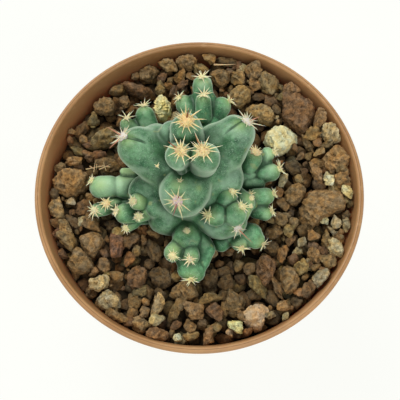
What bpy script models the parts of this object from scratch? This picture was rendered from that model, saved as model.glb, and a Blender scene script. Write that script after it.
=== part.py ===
"""Potted coryphantha: a clustering, spiny cactus in a round plastic pot, top-dressed with gravel.

Run it with: blender --background --python part.py

Lengths are in metres and +Z is up. The pot stands on z = 0 with its axis on the Z axis. The plant's
places are in millimetres from that axis, with z measured up from the top of the pot's rim, so that
a lobe or stone can be moved by hand; at() turns such a place into metres in the model's frame.
"""

import math
from dataclasses import dataclass

import bmesh
import bpy
import numpy as np
from mathutils import Matrix, Vector
from mathutils.bvhtree import BVHTree

MM = 0.001

# Fit: the space that is left between two pieces which touch.
GAP = 0.3 * MM
CUT_GAP = 0.45 * MM

# Pot
RIM_RADIUS = 50 * MM
RIM_HEIGHT = 76 * MM
LIP_WIDTH = 2.8 * MM
LIP_DEPTH = 4.6 * MM
LIP_ROUND = 1.2 * MM
LIP_EDGE = 0.6 * MM
WALL = 1.4 * MM
SHOULDER_RADIUS = 47.0 * MM
FOOT_RADIUS = 32.6 * MM
FOOT_RING_WIDTH = 2.6 * MM
FOOT_RING_HEIGHT = 2.6 * MM
FLOOR = 2.0 * MM
POT_SEGMENTS = 56
DRAIN_HOLES = 4
DRAIN_RADIUS = 4.5 * MM
DRAIN_CIRCLE = 19 * MM

# Filling
MIX_TOP = 58 * MM
BED_TOP = 71.0 * MM
BED_RISE_X = 0.028
BED_RISE_Y = 0.016
BED_VOXEL = 1.1 * MM
BED_FACES = 2800
PEBBLES = 300
PEBBLE_SIZE = (2.0 * MM, 3.4 * MM)
PEBBLE_SEED = 11

# Plant
STEM_VOXEL = 0.9 * MM
STEM_FACES = 2400
OFFSET_VOXEL = 0.6 * MM
OFFSET_FACES = 400
PAD_RADIUS = 0.9 * MM
PAD_HEIGHT = 0.6 * MM
SPINE_RISE = math.radians(24)

# Colours, linear RGB, with roughness
TERRACOTTA = ((0.50, 0.22, 0.08), 0.45)
SOIL = ((0.05, 0.03, 0.02), 0.95)
GRAVEL = ((0.22, 0.13, 0.08), 0.9)
STEM_GREEN = ((0.22, 0.38, 0.26), 0.6)
OFFSET_GREEN = ((0.17, 0.38, 0.20), 0.55)
SPINE_STRAW = ((0.72, 0.60, 0.36), 0.5)


@dataclass(frozen=True)
class Lobe:
    """A round cone: a ball of foot_radius at foot, blended straight to one of tip_radius at tip."""

    foot: tuple
    foot_radius: float
    tip: tuple
    tip_radius: float


@dataclass(frozen=True)
class Cluster:
    """A spine cluster on the ball at centre, facing along look, with its spines' lengths."""

    centre: tuple
    look: tuple
    length: float
    radials: int = 8
    central: float = 2.0


@dataclass(frozen=True)
class Stone:
    """A stone of the top dressing: its middle, its size along its own axes, and its turn about Z."""

    place: tuple
    size: tuple
    turn: float
    colour: tuple


STEM_LOBES = (
    # Root, neck and core
    Lobe((-2.5, 1.5, -30), 2.5, (-2.5, 1.5, -14), 9.0),
    Lobe((-2.5, 1.5, -14), 10.0, (-2.5, 2.0, 4), 12.0),
    Lobe((-2.5, 2.0, 4), 12.0, (-2.8, 3.6, 16), 9.5),
    # Crown: the three youngest tubercles, round the growing point
    Lobe((-3.2, 6.0, 15), 7.4, (-3.8, 9.3, 28.0), 4.8),
    Lobe((-4.8, 1.0, 16), 6.4, (-6.0, 0.4, 27.8), 4.3),
    Lobe((0.2, -0.5, 15), 7.4, (1.8, 0.3, 27.8), 4.4),
    # Shoulders
    Lobe((-7.0, 4.0, 8), 9.6, (-18.4, 6.4, 17.0), 5.8),
    Lobe((2.0, 6.0, 8), 9.8, (10.6, 10.0, 18.5), 5.9),
    Lobe((-3.6, -1.5, 6), 8.0, (-4.2, -5.2, 14.0), 7.0),
    Lobe((1.0, -3.5, 0), 9.0, (8.0, -11.2, 6.8), 5.7),
    # Lower flanks
    Lobe((3.5, 2.5, 1), 8.5, (9.0, 1.8, 7.0), 6.2),
    Lobe((-8.0, -1.0, 0), 8.0, (-14.4, -3.4, 4.5), 5.6),
    Lobe((-5.0, -4.0, -5), 8.5, (-9.0, -8.2, -1.0), 6.0),
    Lobe((-3.0, 7.0, 2), 8.5, (-3.4, 13.2, 8.0), 5.4),
)

STEM_CLUSTERS = {
    "spines_crown_back": Cluster((-3.8, 9.3, 28.0), (0.0, 0.15, 0.98), 5.2, 8, 3.0),
    "spines_crown_left": Cluster((-6.0, 0.4, 27.8), (0.13, 0.10, 0.98), 4.6, 9, 1.5),
    "spines_crown_right": Cluster((1.8, 0.3, 27.8), (-0.10, 0.10, 0.98), 4.6, 9, 1.5),
    "spines_left": Cluster((-18.4, 6.4, 17.0), (-0.64, 0.50, 0.58), 5.0, 7, 6.0),
    "spines_right": Cluster((10.6, 10.0, 18.5), (0.57, 0.42, 0.70), 4.6, 7, 4.0),
    "spines_front": Cluster((-4.2, -5.2, 14.0), (-0.30, -0.64, 0.70), 4.8, 6, 1.5),
    "spines_front_right": Cluster((8.0, -11.2, 6.8), (0.40, -0.64, 0.65), 4.4, 6, 5.5),
    "spines_back": Cluster((-3.4, 13.2, 8.0), (-0.10, 0.75, 0.65), 3.8, 7, 2.0),
}

OFFSETS = {
    "offset_front": (
        Lobe((-3.0, -8.0, -5), 5.5, (-3.0, -17.5, -1.0), 4.8),
        Lobe((-3.0, -17.0, -1), 4.5, (-7.6, -19.6, 0.5), 2.9),
        Lobe((-3.0, -17.0, 0), 4.5, (-2.6, -21.2, 4.2), 3.6),
        Lobe((-3.0, -19.0, -2), 4.2, (-2.5, -25.6, -1.2), 3.6),
        Lobe((-1.0, -15.0, -2), 3.6, (2.2, -20.6, -0.5), 2.5),
    ),
    "offset_front_right": (
        Lobe((5.0, -8.0, -6), 5.0, (10.0, -14.0, -3.0), 4.2),
        Lobe((9.0, -13.5, -3), 4.2, (16.8, -15.4, -1.0), 3.6),
        Lobe((8.5, -13.5, -3), 4.0, (12.6, -16.4, -1.0), 3.1),
        Lobe((7.0, -13.0, -4), 3.6, (5.0, -16.6, -3.0), 2.4),
    ),
    "offset_right": (
        Lobe((7.0, -3.5, 0), 4.5, (14.0, -4.0, 3.2), 3.6),
        Lobe((13.0, -3.6, 2), 3.2, (20.0, -2.6, 2.8), 2.7),
        Lobe((13.0, -4.6, 0), 3.2, (19.6, -7.2, 1.0), 2.7),
    ),
    "offset_upper_right": (
        Lobe((7.0, 4.0, -3), 5.0, (16.6, 4.2, -2.0), 3.8),
        Lobe((13.0, 5.0, -1), 3.6, (16.2, 8.8, 4.0), 3.0),
        Lobe((15.0, 5.5, -1), 3.2, (20.7, 10.3, 2.0), 2.8),
        Lobe((16.0, 4.5, -2), 3.4, (21.4, 6.4, -0.2), 3.2),
    ),
    "offset_back": (
        Lobe((0.5, 12.0, -4), 6.0, (3.0, 21.5, 1.5), 5.2),
        Lobe((2.0, 22.0, 2), 4.2, (1.1, 31.0, 6.6), 3.1),
        Lobe((2.0, 20.0, 3), 4.0, (1.1, 25.4, 9.0), 2.7),
        Lobe((1.0, 22.0, 1), 4.0, (-4.4, 26.6, 3.8), 2.9),
        Lobe((3.5, 22.0, 1), 4.2, (6.8, 25.8, 3.8), 3.2),
    ),
    "offset_back_left": (
        Lobe((-8.0, 11.0, -4), 5.0, (-13.6, 19.0, 0.5), 3.6),
        Lobe((-13.0, 18.5, 0), 3.4, (-16.6, 23.6, 2.8), 3.0),
        Lobe((-14.0, 18.5, -1), 3.0, (-22.0, 21.2, 1.6), 2.2),
    ),
    "offset_left_finger": (
        Lobe((-10.0, 1.0, -3), 5.0, (-21.0, 1.6, -0.5), 4.0),
        Lobe((-21.0, 1.6, -0.5), 4.0, (-29.8, 1.2, 0.0), 3.6),
    ),
    "offset_left_low": (
        Lobe((-12.0, -2.0, -5), 4.0, (-22.0, -2.6, -4.0), 3.0),
        Lobe((-22.0, -2.6, -4), 3.0, (-27.4, -3.0, -2.6), 2.4),
        Lobe((-24.0, -3.0, -5), 2.6, (-31.4, -4.6, -3.4), 2.2),
    ),
    "offset_left_front": (
        Lobe((-12.0, -4.0, -6), 4.0, (-20.0, -6.6, -4.0), 3.4),
        Lobe((-19.0, -6.4, -4), 3.2, (-23.6, -7.0, -1.4), 2.7),
        Lobe((-19.0, -6.6, -5), 3.0, (-22.0, -9.4, -3.4), 2.3),
    ),
    "offset_on_front_shoulder": (
        Lobe((6.0, -6.5, 3), 5.6, (7.4, -8.0, 6.6), 5.4),
        Lobe((7.4, -7.6, 6), 4.6, (8.4, -5.0, 9.8), 4.0),
        Lobe((7.8, -8.6, 6), 4.6, (11.0, -9.0, 9.4), 3.8),
        Lobe((6.6, -9.2, 6), 4.6, (4.4, -11.2, 9.4), 4.0),
    ),
    "offset_on_left_flank": (
        Lobe((-12.5, -4.5, 1), 4.0, (-15.4, -6.6, 4.5), 3.6),
        Lobe((-15.0, -6.0, 3), 3.2, (-18.2, -6.0, 6.8), 2.6),
        Lobe((-15.0, -6.8, 3), 3.0, (-17.4, -8.8, 4.2), 2.5),
        Lobe((-14.0, -6.0, 3), 3.2, (-13.4, -8.2, 6.0), 2.9),
    ),
}

OFFSET_CLUSTERS = {
    "offset_front": (
        Cluster((-7.6, -19.6, 0.5), (-0.30, -0.75, 0.60), 2.4),
        Cluster((-2.6, -21.2, 4.2), (-0.05, -0.60, 0.80), 3.0),
        Cluster((-2.5, -25.6, -1.2), (0.00, -0.88, 0.47), 2.8),
    ),
    "offset_front_right": (
        Cluster((16.8, -15.4, -1.0), (0.75, -0.45, 0.48), 2.2),
        Cluster((12.6, -16.4, -1.0), (0.10, -0.80, 0.60), 2.4),
    ),
    "offset_right": (
        Cluster((14.0, -4.0, 3.2), (0.45, 0.10, 0.88), 2.2),
        Cluster((20.0, -2.6, 2.8), (0.75, 0.35, 0.55), 2.2),
        Cluster((19.6, -7.2, 1.0), (0.80, 0.10, 0.60), 2.4),
    ),
    "offset_upper_right": (
        Cluster((16.2, 8.8, 4.0), (0.20, 0.60, 0.77), 2.2),
        Cluster((20.7, 10.3, 2.0), (0.80, 0.25, 0.55), 2.2),
        Cluster((21.4, 6.4, -0.2), (0.85, 0.05, 0.52), 2.6),
    ),
    "offset_back": (
        Cluster((1.1, 31.0, 6.6), (-0.10, 0.75, 0.65), 2.8),
        Cluster((1.1, 25.4, 9.0), (0.05, 0.35, 0.93), 2.8),
        Cluster((-4.4, 26.6, 3.8), (-0.75, 0.45, 0.48), 2.4),
        Cluster((6.8, 25.8, 3.8), (0.80, 0.40, 0.45), 2.6),
    ),
    "offset_back_left": (
        Cluster((-16.6, 23.6, 2.8), (-0.15, 0.75, 0.65), 2.6),
        Cluster((-22.0, 21.2, 1.6), (-0.25, 0.50, 0.83), 3.0),
    ),
    "offset_left_finger": (Cluster((-29.8, 1.2, 0.0), (-0.78, 0.45, 0.44), 1.6),),
    "offset_left_low": (
        Cluster((-27.4, -3.0, -2.6), (-0.20, -0.35, 0.91), 2.2),
        Cluster((-31.4, -4.6, -3.4), (-0.40, -0.40, 0.83), 2.8),
    ),
    "offset_left_front": (
        Cluster((-23.6, -7.0, -1.4), (-0.70, -0.10, 0.70), 2.4),
        Cluster((-22.0, -9.4, -3.4), (-0.10, -0.78, 0.62), 1.8),
    ),
    "offset_on_front_shoulder": (
        Cluster((8.4, -5.0, 9.8), (0.30, 0.20, 0.93), 2.4),
        Cluster((11.0, -9.0, 9.4), (0.50, 0.10, 0.86), 2.4),
        Cluster((4.4, -11.2, 9.4), (-0.35, -0.40, 0.85), 2.4),
    ),
    "offset_on_left_flank": (
        Cluster((-18.2, -6.0, 6.8), (-0.55, 0.10, 0.83), 2.4),
        Cluster((-17.4, -8.8, 4.2), (-0.50, -0.50, 0.71), 2.4),
    ),
}

STONES = {
    "stone_cream": Stone((24.0, 16.8, -4.2), (11.2, 9.8, 7.4), 20, (0.68, 0.62, 0.42)),
    "stone_pale_yellow": Stone((-11.8, 28.8, -4.0), (7.0, 8.0, 6.6), 35, (0.60, 0.52, 0.30)),
    "stone_large": Stone((36.6, -5.2, -4.4), (13.2, 15.6, 7.6), -35, (0.28, 0.19, 0.12)),
    "stone_brown": Stone((30.2, 26.6, -4.4), (11.2, 9.6, 7.6), -40, (0.30, 0.19, 0.11)),
    "stone_orange": Stone((40.0, 12.2, -4.0), (6.6, 8.2, 6.6), 10, (0.36, 0.20, 0.11)),
    "stone_left": Stone((-39.0, 3.4, -5.0), (10.0, 9.2, 7.2), 5, (0.32, 0.20, 0.11)),
    "stone_pink_cream": Stone((15.6, -36.8, -4.8), (8.6, 8.8, 6.8), 15, (0.50, 0.37, 0.26)),
    "stone_red": Stone((20.8, -23.2, -4.4), (7.4, 11.0, 6.8), 5, (0.26, 0.12, 0.08)),
}


def at(place):
    """A place in millimetres, with z from the rim's top, as metres in the model's frame."""
    x, y, z = place
    return Vector((x * MM, y * MM, z * MM + RIM_HEIGHT))


def clear_scene():
    for obj in list(bpy.data.objects):
        bpy.data.objects.remove(obj)


def make_material(name, finish):
    colour, roughness = finish
    material = bpy.data.materials.new(name)
    material.use_nodes = True
    shader = material.node_tree.nodes["Principled BSDF"]
    shader.inputs["Base Color"].default_value = (*colour, 1)
    shader.inputs["Roughness"].default_value = roughness
    shader.inputs["Metallic"].default_value = 0
    material.diffuse_color = (*colour, 1)
    return material


def add_object(name, bm, finish=None):
    """Turns a bmesh into a named object; one without a finish is a cutter and stays hidden."""
    bmesh.ops.recalc_face_normals(bm, faces=bm.faces)
    mesh = bpy.data.meshes.new(name)
    bm.to_mesh(mesh)
    bm.free()
    obj = bpy.data.objects.new(name, mesh)
    bpy.context.scene.collection.objects.link(obj)
    if finish:
        mesh.materials.append(make_material(name, finish))
    else:
        obj.hide_render = True
        obj.display_type = "WIRE"
    return obj


def settle(obj):
    """Applies the object's modifiers to its mesh."""
    bpy.context.view_layer.update()
    graph = bpy.context.evaluated_depsgraph_get()
    obj.data = bpy.data.meshes.new_from_object(obj.evaluated_get(graph))
    obj.modifiers.clear()


def boolean(obj, other, operation="DIFFERENCE"):
    modifier = obj.modifiers.new(f"{operation.lower()}_{other.name}", "BOOLEAN")
    modifier.operation = operation
    modifier.object = other


def reduce_to(obj, faces):
    """Collapses edges until the object has about this many triangles."""
    triangles = sum(len(polygon.vertices) - 2 for polygon in obj.data.polygons)
    if triangles > faces:
        modifier = obj.modifiers.new("reduce", "DECIMATE")
        modifier.ratio = faces / triangles
        settle(obj)


# Pot


def wall_radius(z):
    """The outer wall's radius at height z, on the straight run from the foot to the shoulder."""
    run = z / (RIM_HEIGHT - LIP_DEPTH)
    return FOOT_RADIUS + (SHOULDER_RADIUS - FOOT_RADIUS) * run


def bore_radius(z):
    """The inner wall's radius at height z."""
    return wall_radius(z) - WALL


def lathe(profile, segments=POT_SEGMENTS):
    """Turns a closed outline of (radius, z) points about the Z axis; a radius of 0 is on the axis."""
    bm = bmesh.new()
    verts = [bm.verts.new((radius, 0, z)) for radius, z in profile]
    edges = [bm.edges.new((a, b)) for a, b in zip(verts, verts[1:])]
    if profile[0][0] > 0:
        edges.append(bm.edges.new((verts[-1], verts[0])))
    bmesh.ops.spin(
        bm,
        geom=verts + edges,
        axis=(0, 0, 1),
        cent=(0, 0, 0),
        steps=segments,
        angle=math.tau,
        use_merge=True,
    )
    bmesh.ops.remove_doubles(bm, verts=bm.verts, dist=1e-6)
    return bm


def lip_profile():
    """The rolled lip from its outer foot, over the top, to where it meets the inner wall."""
    foot = RIM_HEIGHT - LIP_DEPTH
    centre = RIM_HEIGHT - LIP_ROUND
    outer = RIM_RADIUS - LIP_ROUND
    inner = RIM_RADIUS - LIP_WIDTH + LIP_ROUND
    points = [(RIM_RADIUS - LIP_EDGE, foot), (RIM_RADIUS, foot + LIP_EDGE)]
    for middle, start in ((outer, 0), (inner, 90)):
        for degrees in range(start, start + 91, 30):
            turn = math.radians(degrees)
            points.append((middle + LIP_ROUND * math.cos(turn), centre + LIP_ROUND * math.sin(turn)))
    return points


def make_pot():
    inner_floor = FOOT_RING_HEIGHT + FLOOR
    bore_top = RIM_HEIGHT - LIP_DEPTH
    profile = [
        (0, FOOT_RING_HEIGHT),
        (FOOT_RADIUS - FOOT_RING_WIDTH - 0.4 * MM, FOOT_RING_HEIGHT),
        (FOOT_RADIUS - FOOT_RING_WIDTH, 0),
        (FOOT_RADIUS, 0),
        (SHOULDER_RADIUS, RIM_HEIGHT - LIP_DEPTH),
        *lip_profile(),
        (bore_radius(bore_top), bore_top),
        (bore_radius(inner_floor), inner_floor),
        (0, inner_floor),
    ]
    pot = add_object("pot", lathe(profile), TERRACOTTA)
    for index in range(DRAIN_HOLES):
        turn = math.radians(45) + math.tau * index / DRAIN_HOLES
        bm = bmesh.new()
        place = (DRAIN_CIRCLE * math.cos(turn), DRAIN_CIRCLE * math.sin(turn), FOOT_RING_HEIGHT)
        bmesh.ops.create_cone(
            bm,
            cap_ends=True,
            segments=16,
            radius1=DRAIN_RADIUS,
            radius2=DRAIN_RADIUS,
            depth=4 * FLOOR,
            matrix=Matrix.Translation(place),
        )
        boolean(pot, add_object(f"drain_cutter_{index}", bm))
    settle(pot)
    pot.data.set_sharp_from_angle(angle=math.radians(40))
    return pot


# Plant


def add_round_cone(bm, lobe, grow):
    """Adds a ball pulled out from the lobe's foot to its tip, with every radius larger by grow."""
    foot, tip = at(lobe.foot), at(lobe.tip)
    turn = (tip - foot).to_track_quat("Z", "Y").to_matrix()
    ball = bmesh.ops.create_uvsphere(bm, u_segments=24, v_segments=16, radius=1)
    for vert in ball["verts"]:
        upper = vert.co.z > -1e-6
        centre, radius = (tip, lobe.tip_radius) if upper else (foot, lobe.foot_radius)
        vert.co = centre + turn @ vert.co * (radius * MM + grow)


def make_lobes(name, lobes, voxel, faces, finish=None, grow=0.0):
    """One closed skin over all the lobes, smoothed where they meet."""
    bm = bmesh.new()
    for lobe in lobes:
        add_round_cone(bm, lobe, grow)
    obj = add_object(name, bm, finish)
    remesh = obj.modifiers.new("skin", "REMESH")
    remesh.mode = "VOXEL"
    remesh.voxel_size = voxel
    smooth = obj.modifiers.new("ease", "SMOOTH")
    smooth.factor = 0.5
    smooth.iterations = 3
    settle(obj)
    reduce_to(obj, faces)
    return obj


def boxes_meet(one, other):
    """Whether the bounding boxes of two objects overlap."""
    corners = [np.array([v.co for v in obj.data.vertices]) for obj in (one, other)]
    low = np.maximum(corners[0].min(0), corners[1].min(0))
    high = np.minimum(corners[0].max(0), corners[1].max(0))
    return bool((low < high).all())


def make_plant():
    """The main stem and its offsets, and a slightly larger cutter of each."""
    stem = make_lobes("main_stem", STEM_LOBES, STEM_VOXEL, STEM_FACES, STEM_GREEN)
    cutters = [make_lobes("main_stem_cutter", STEM_LOBES, STEM_VOXEL, STEM_FACES, grow=CUT_GAP)]
    stems = {stem.name: stem}
    for name, lobes in OFFSETS.items():
        offset = make_lobes(name, lobes, OFFSET_VOXEL, OFFSET_FACES, OFFSET_GREEN)
        for cutter in cutters:
            if boxes_meet(offset, cutter):
                boolean(offset, cutter)
        settle(offset)
        offset.data.shade_smooth()
        stems[name] = offset
        cutters.append(make_lobes(f"{name}_cutter", lobes, OFFSET_VOXEL, OFFSET_FACES, grow=CUT_GAP))
    stem.data.shade_smooth()
    return stems, cutters


def make_spines(name, cluster, stem):
    """A woolly pad with a crown of radial spines and one central spine, seated on the stem's skin."""
    look = Vector(cluster.look).normalized()
    start = at(cluster.centre) + look * 30 * MM
    skin = BVHTree.FromObject(stem, bpy.context.evaluated_depsgraph_get())
    seat = skin.ray_cast(start, -look)[0] + look * (GAP + PAD_HEIGHT / 2)
    bm = bmesh.new()
    bmesh.ops.create_cone(
        bm,
        cap_ends=True,
        segments=cluster.radials,
        radius1=PAD_RADIUS,
        radius2=PAD_RADIUS * 0.8,
        depth=PAD_HEIGHT,
    )
    top = max(bm.faces, key=lambda face: face.calc_center_median().z)
    sides = [face for face in bm.faces if len(face.verts) == 4 and abs(face.normal.z) < 0.9]
    tips = bmesh.ops.poke(bm, faces=sides)["verts"]
    for index, tip in enumerate(tips):
        flat = Vector((tip.co.x, tip.co.y, 0)).normalized()
        rise = SPINE_RISE + math.radians(10) * (index % 2)
        length = cluster.length * (1 - 0.15 * (index % 3))
        tip.co = (flat * math.cos(rise) + Vector((0, 0, math.sin(rise)))) * length * MM
    centre = bmesh.ops.poke(bm, faces=[top])["verts"][0]
    centre.co = Vector((0.1, 0.15, 1)).normalized() * cluster.central * MM
    turn = look.to_track_quat("Z", "Y").to_matrix().to_4x4()
    spines = add_object(name, bm, SPINE_STRAW)
    spines.matrix_world = Matrix.Translation(seat) @ turn
    return spines


# Filling


def make_cavity(name, low, high, finish=None):
    """The space inside the pot between two heights, a gap clear of the wall."""
    profile = [(0, low), (bore_radius(low) - GAP, low), (bore_radius(high) - GAP, high), (0, high)]
    return add_object(name, lathe(profile), finish)


def hull_of(points):
    bm = bmesh.new()
    for point in points:
        bm.verts.new(point)
    hull = bmesh.ops.convex_hull(bm, input=bm.verts)
    inside = set(hull["geom_interior"] + hull["geom_unused"])
    bmesh.ops.delete(bm, geom=list(inside), context="VERTS")
    return bm


def stone_points(stone, seed, grow=0.0):
    """Corners of a faceted stone: scattered points pushed out to a squarish egg, then turned."""
    rng = np.random.default_rng(seed)
    ways = rng.normal(size=(30, 3))
    ways /= np.linalg.norm(ways, axis=1)[:, None]
    reach = (np.abs(ways) ** 2.6).sum(1) ** (-1 / 2.6)
    half = np.array(stone.size) * MM / 2 + grow
    points = ways * (reach * rng.uniform(0.90, 1.0, 30))[:, None]
    points = points / np.abs(points).max(0) * half
    turn = np.array(Matrix.Rotation(math.radians(stone.turn), 3, "Z"))
    return points @ turn.T + np.array(at(stone.place))


def make_stones():
    """The largest stones. It gives back a slightly larger cutter of each."""
    cutters = []
    for seed, (name, stone) in enumerate(STONES.items()):
        add_object(name, hull_of(stone_points(stone, seed)), (stone.colour, 0.9))
        cutters.append(add_object(f"{name}_cutter", hull_of(stone_points(stone, seed, GAP))))
    return cutters


def bed_height(x, y):
    """The gravel's mean height: it lies a little higher towards +X and +Y."""
    return BED_TOP + BED_RISE_X * x + BED_RISE_Y * y


def add_pebble(bm, rng):
    """Adds one squashed, turned pebble that stands half out of the bed."""
    radius = (bore_radius(BED_TOP) - 1.5 * MM) * math.sqrt(rng.uniform())
    turn = rng.uniform(0, math.tau)
    x, y = radius * math.cos(turn), radius * math.sin(turn)
    size = rng.uniform(*PEBBLE_SIZE)
    matrix = (
        Matrix.Translation((x, y, bed_height(x, y) - 0.1 * size))
        @ Matrix.Rotation(rng.uniform(0, math.tau), 4, "Z")
        @ Matrix.Rotation(rng.uniform(-0.5, 0.5), 4, "X")
        @ Matrix.Diagonal((size, size * rng.uniform(0.65, 0.9), size * 0.7, 1))
    )
    bmesh.ops.create_icosphere(bm, subdivisions=2, radius=1, matrix=matrix)


def make_gravel_bed(cutters):
    """One lumpy solid for the loose gravel, with sockets for the stems and the largest stones."""
    bottom = MIX_TOP + GAP
    bm = bmesh.new()
    bmesh.ops.create_cone(
        bm,
        cap_ends=True,
        segments=POT_SEGMENTS,
        radius1=RIM_RADIUS,
        radius2=RIM_RADIUS,
        depth=2 * (BED_TOP - bottom),
        matrix=Matrix.Translation((0, 0, BED_TOP - 1 * MM - (BED_TOP - bottom))),
    )
    for vert in bm.verts:
        vert.co.z += bed_height(vert.co.x, vert.co.y) - BED_TOP
    rng = np.random.default_rng(PEBBLE_SEED)
    for _ in range(PEBBLES):
        add_pebble(bm, rng)
    bed = add_object("gravel_bed", bm, GRAVEL)
    remesh = bed.modifiers.new("lump", "REMESH")
    remesh.mode = "VOXEL"
    remesh.voxel_size = BED_VOXEL
    settle(bed)
    cavity = make_cavity("bed_cutter", bottom, RIM_HEIGHT - 1 * MM)
    boolean(bed, cavity, "INTERSECT")
    settle(bed)
    reduce_to(bed, BED_FACES)
    for cutter in cutters:
        if boxes_meet(bed, cutter):
            boolean(bed, cutter)
    settle(bed)
    return bed


def make_potting_mix(root_cutter):
    """The soil below the gravel, with a socket for the root."""
    low = FOOT_RING_HEIGHT + FLOOR + GAP
    mix = make_cavity("potting_mix", low, MIX_TOP, SOIL)
    boolean(mix, root_cutter)
    settle(mix)
    return mix


def main():
    clear_scene()
    make_pot()
    stems, stem_cutters = make_plant()
    for name, cluster in STEM_CLUSTERS.items():
        make_spines(name, cluster, stems["main_stem"])
    for offset, clusters in OFFSET_CLUSTERS.items():
        for number, cluster in enumerate(clusters, 1):
            make_spines(f"{offset}_spines_{number}", cluster, stems[offset])
    stone_cutters = make_stones()
    make_gravel_bed(stem_cutters + stone_cutters)
    make_potting_mix(stem_cutters[0])


main()
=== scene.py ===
"""Looks for the potted coryphantha: a clustering, spiny cactus in a gravel-dressed plastic pot.

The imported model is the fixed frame: metres, +Z up, the pot standing on z = 0 round the Z axis. Shapes
here are worked out in millimetres from the middle of the pot's rim, as in the part's own source, so a
lobe, spine or stone can be moved by hand. placed() turns such a place into metres in the frame.
"""

import logging
import math
from collections.abc import Sequence
from dataclasses import dataclass, field
from enum import Enum

import bpy
import numpy as np
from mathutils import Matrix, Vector


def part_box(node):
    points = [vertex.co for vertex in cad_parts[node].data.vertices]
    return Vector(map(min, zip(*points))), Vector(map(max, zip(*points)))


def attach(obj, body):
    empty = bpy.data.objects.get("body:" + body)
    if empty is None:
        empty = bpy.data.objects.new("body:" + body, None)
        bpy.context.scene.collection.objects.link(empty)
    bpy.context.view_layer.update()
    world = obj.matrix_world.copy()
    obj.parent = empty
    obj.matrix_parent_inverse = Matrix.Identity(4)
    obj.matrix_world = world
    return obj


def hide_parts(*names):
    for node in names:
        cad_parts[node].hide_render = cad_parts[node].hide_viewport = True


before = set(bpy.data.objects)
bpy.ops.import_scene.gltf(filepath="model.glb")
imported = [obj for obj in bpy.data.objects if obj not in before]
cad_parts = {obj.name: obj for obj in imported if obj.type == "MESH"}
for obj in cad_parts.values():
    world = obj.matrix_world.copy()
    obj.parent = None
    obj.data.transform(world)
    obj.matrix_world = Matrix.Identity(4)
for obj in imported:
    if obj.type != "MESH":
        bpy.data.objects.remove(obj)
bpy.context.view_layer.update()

LOG = logging.getLogger("coryphantha")
MM = 0.001
RIM_RADIUS, _, RIM_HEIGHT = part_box("pot")[1]
BODY = "root"

Array = np.ndarray
Piece = bpy.types.Object
Material = bpy.types.Material
Node = bpy.types.Node
NodeTree = bpy.types.NodeTree
Socket = bpy.types.NodeSocket
Place = tuple[float, float, float]
Colour = tuple[float, float, float]
Pair = tuple[float, float]
Grid = tuple[int, int]
Spots = tuple[tuple[Place, float], ...]


# Points and meshes


def placed(points: Array) -> Array:
    """Places in millimetres from the rim's middle as metres in the frame: (x, y, z + rim height)."""
    return np.asarray(points, float) * MM + (0, 0, RIM_HEIGHT)


def unit(vectors: Array) -> Array:
    """Vectors scaled to length 1 along the last axis."""
    vectors = np.asarray(vectors, float)
    return vectors / np.linalg.norm(vectors, axis=-1, keepdims=True)


def lit(red: int, green: int, blue: int) -> Colour:
    """A display colour of 0 to 255 as linear light: ((v / 255 + 0.055) / 1.055) ** 2.4."""
    return tuple(((v / 255 + 0.055) / 1.055) ** 2.4 for v in (red, green, blue))


def ball_grid(rows: int, columns: int) -> Array:
    """Directions all round a point, on a grid of latitude and longitude.

    direction = (cos lat * cos lon, cos lat * sin lon, sin lat); the two poles come last, as one
    direction each.

    Args:
        rows: Latitudes between the poles, from south to north.
        columns: Longitudes.

    Returns:
        Unit vectors, shape (rows * columns + 2, 3).
    """
    latitude = np.linspace(-math.pi / 2, math.pi / 2, rows + 2)[1:-1, None]
    longitude = np.linspace(0, math.tau, columns, endpoint=False)[None]
    grid = np.stack(
        [
            np.cos(latitude) * np.cos(longitude),
            np.cos(latitude) * np.sin(longitude),
            np.sin(latitude) + 0 * longitude,
        ],
        -1,
    )
    return np.concatenate([grid.reshape(-1, 3), [(0, 0, -1), (0, 0, 1)]])


def ball_faces(rows: int, columns: int, count: int = 1) -> list[Array]:
    """Faces that close one or more ball grids, facing outwards: quads, then a fan at each pole.

    Args:
        rows: Rows of each grid between its poles.
        columns: Points round each row.
        count: How many such grids follow one another.

    Returns:
        Corner indices: an array of quads and two of triangles.
    """
    index = np.arange(rows * columns).reshape(rows, columns)
    after = np.roll(index, -1, axis=1)
    quads = np.stack([index[:-1], after[:-1], after[1:], index[1:]], -1).reshape(-1, 4)
    south = np.stack([np.full(columns, rows * columns), after[0], index[0]], -1)
    north = np.stack([index[-1], after[-1], np.full(columns, rows * columns + 1)], -1)
    steps = (rows * columns + 2) * np.arange(count)[:, None, None]
    return [(corners[None] + steps).reshape(-1, corners.shape[1]) for corners in (quads, south, north)]


def turned_outline(outline: Array, columns: int) -> Array:
    """An outline turned about the Z axis: (r, z) becomes (r cos a, r sin a, z) at each angle a.

    Args:
        outline: (radius, z) points; the first and last lie on the axis and become the poles.
        columns: Points round each turn.

    Returns:
        Points in the order that ball_faces wants.
    """
    angle = np.linspace(0, math.tau, columns, endpoint=False)
    radius, height = outline[1:-1, 0, None], outline[1:-1, 1, None]
    grid = np.stack([radius * np.cos(angle), radius * np.sin(angle), height + 0 * angle], -1)
    poles = [(0, 0, outline[0, 1]), (0, 0, outline[-1, 1])]
    return np.concatenate([grid.reshape(-1, 3), poles])


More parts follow.
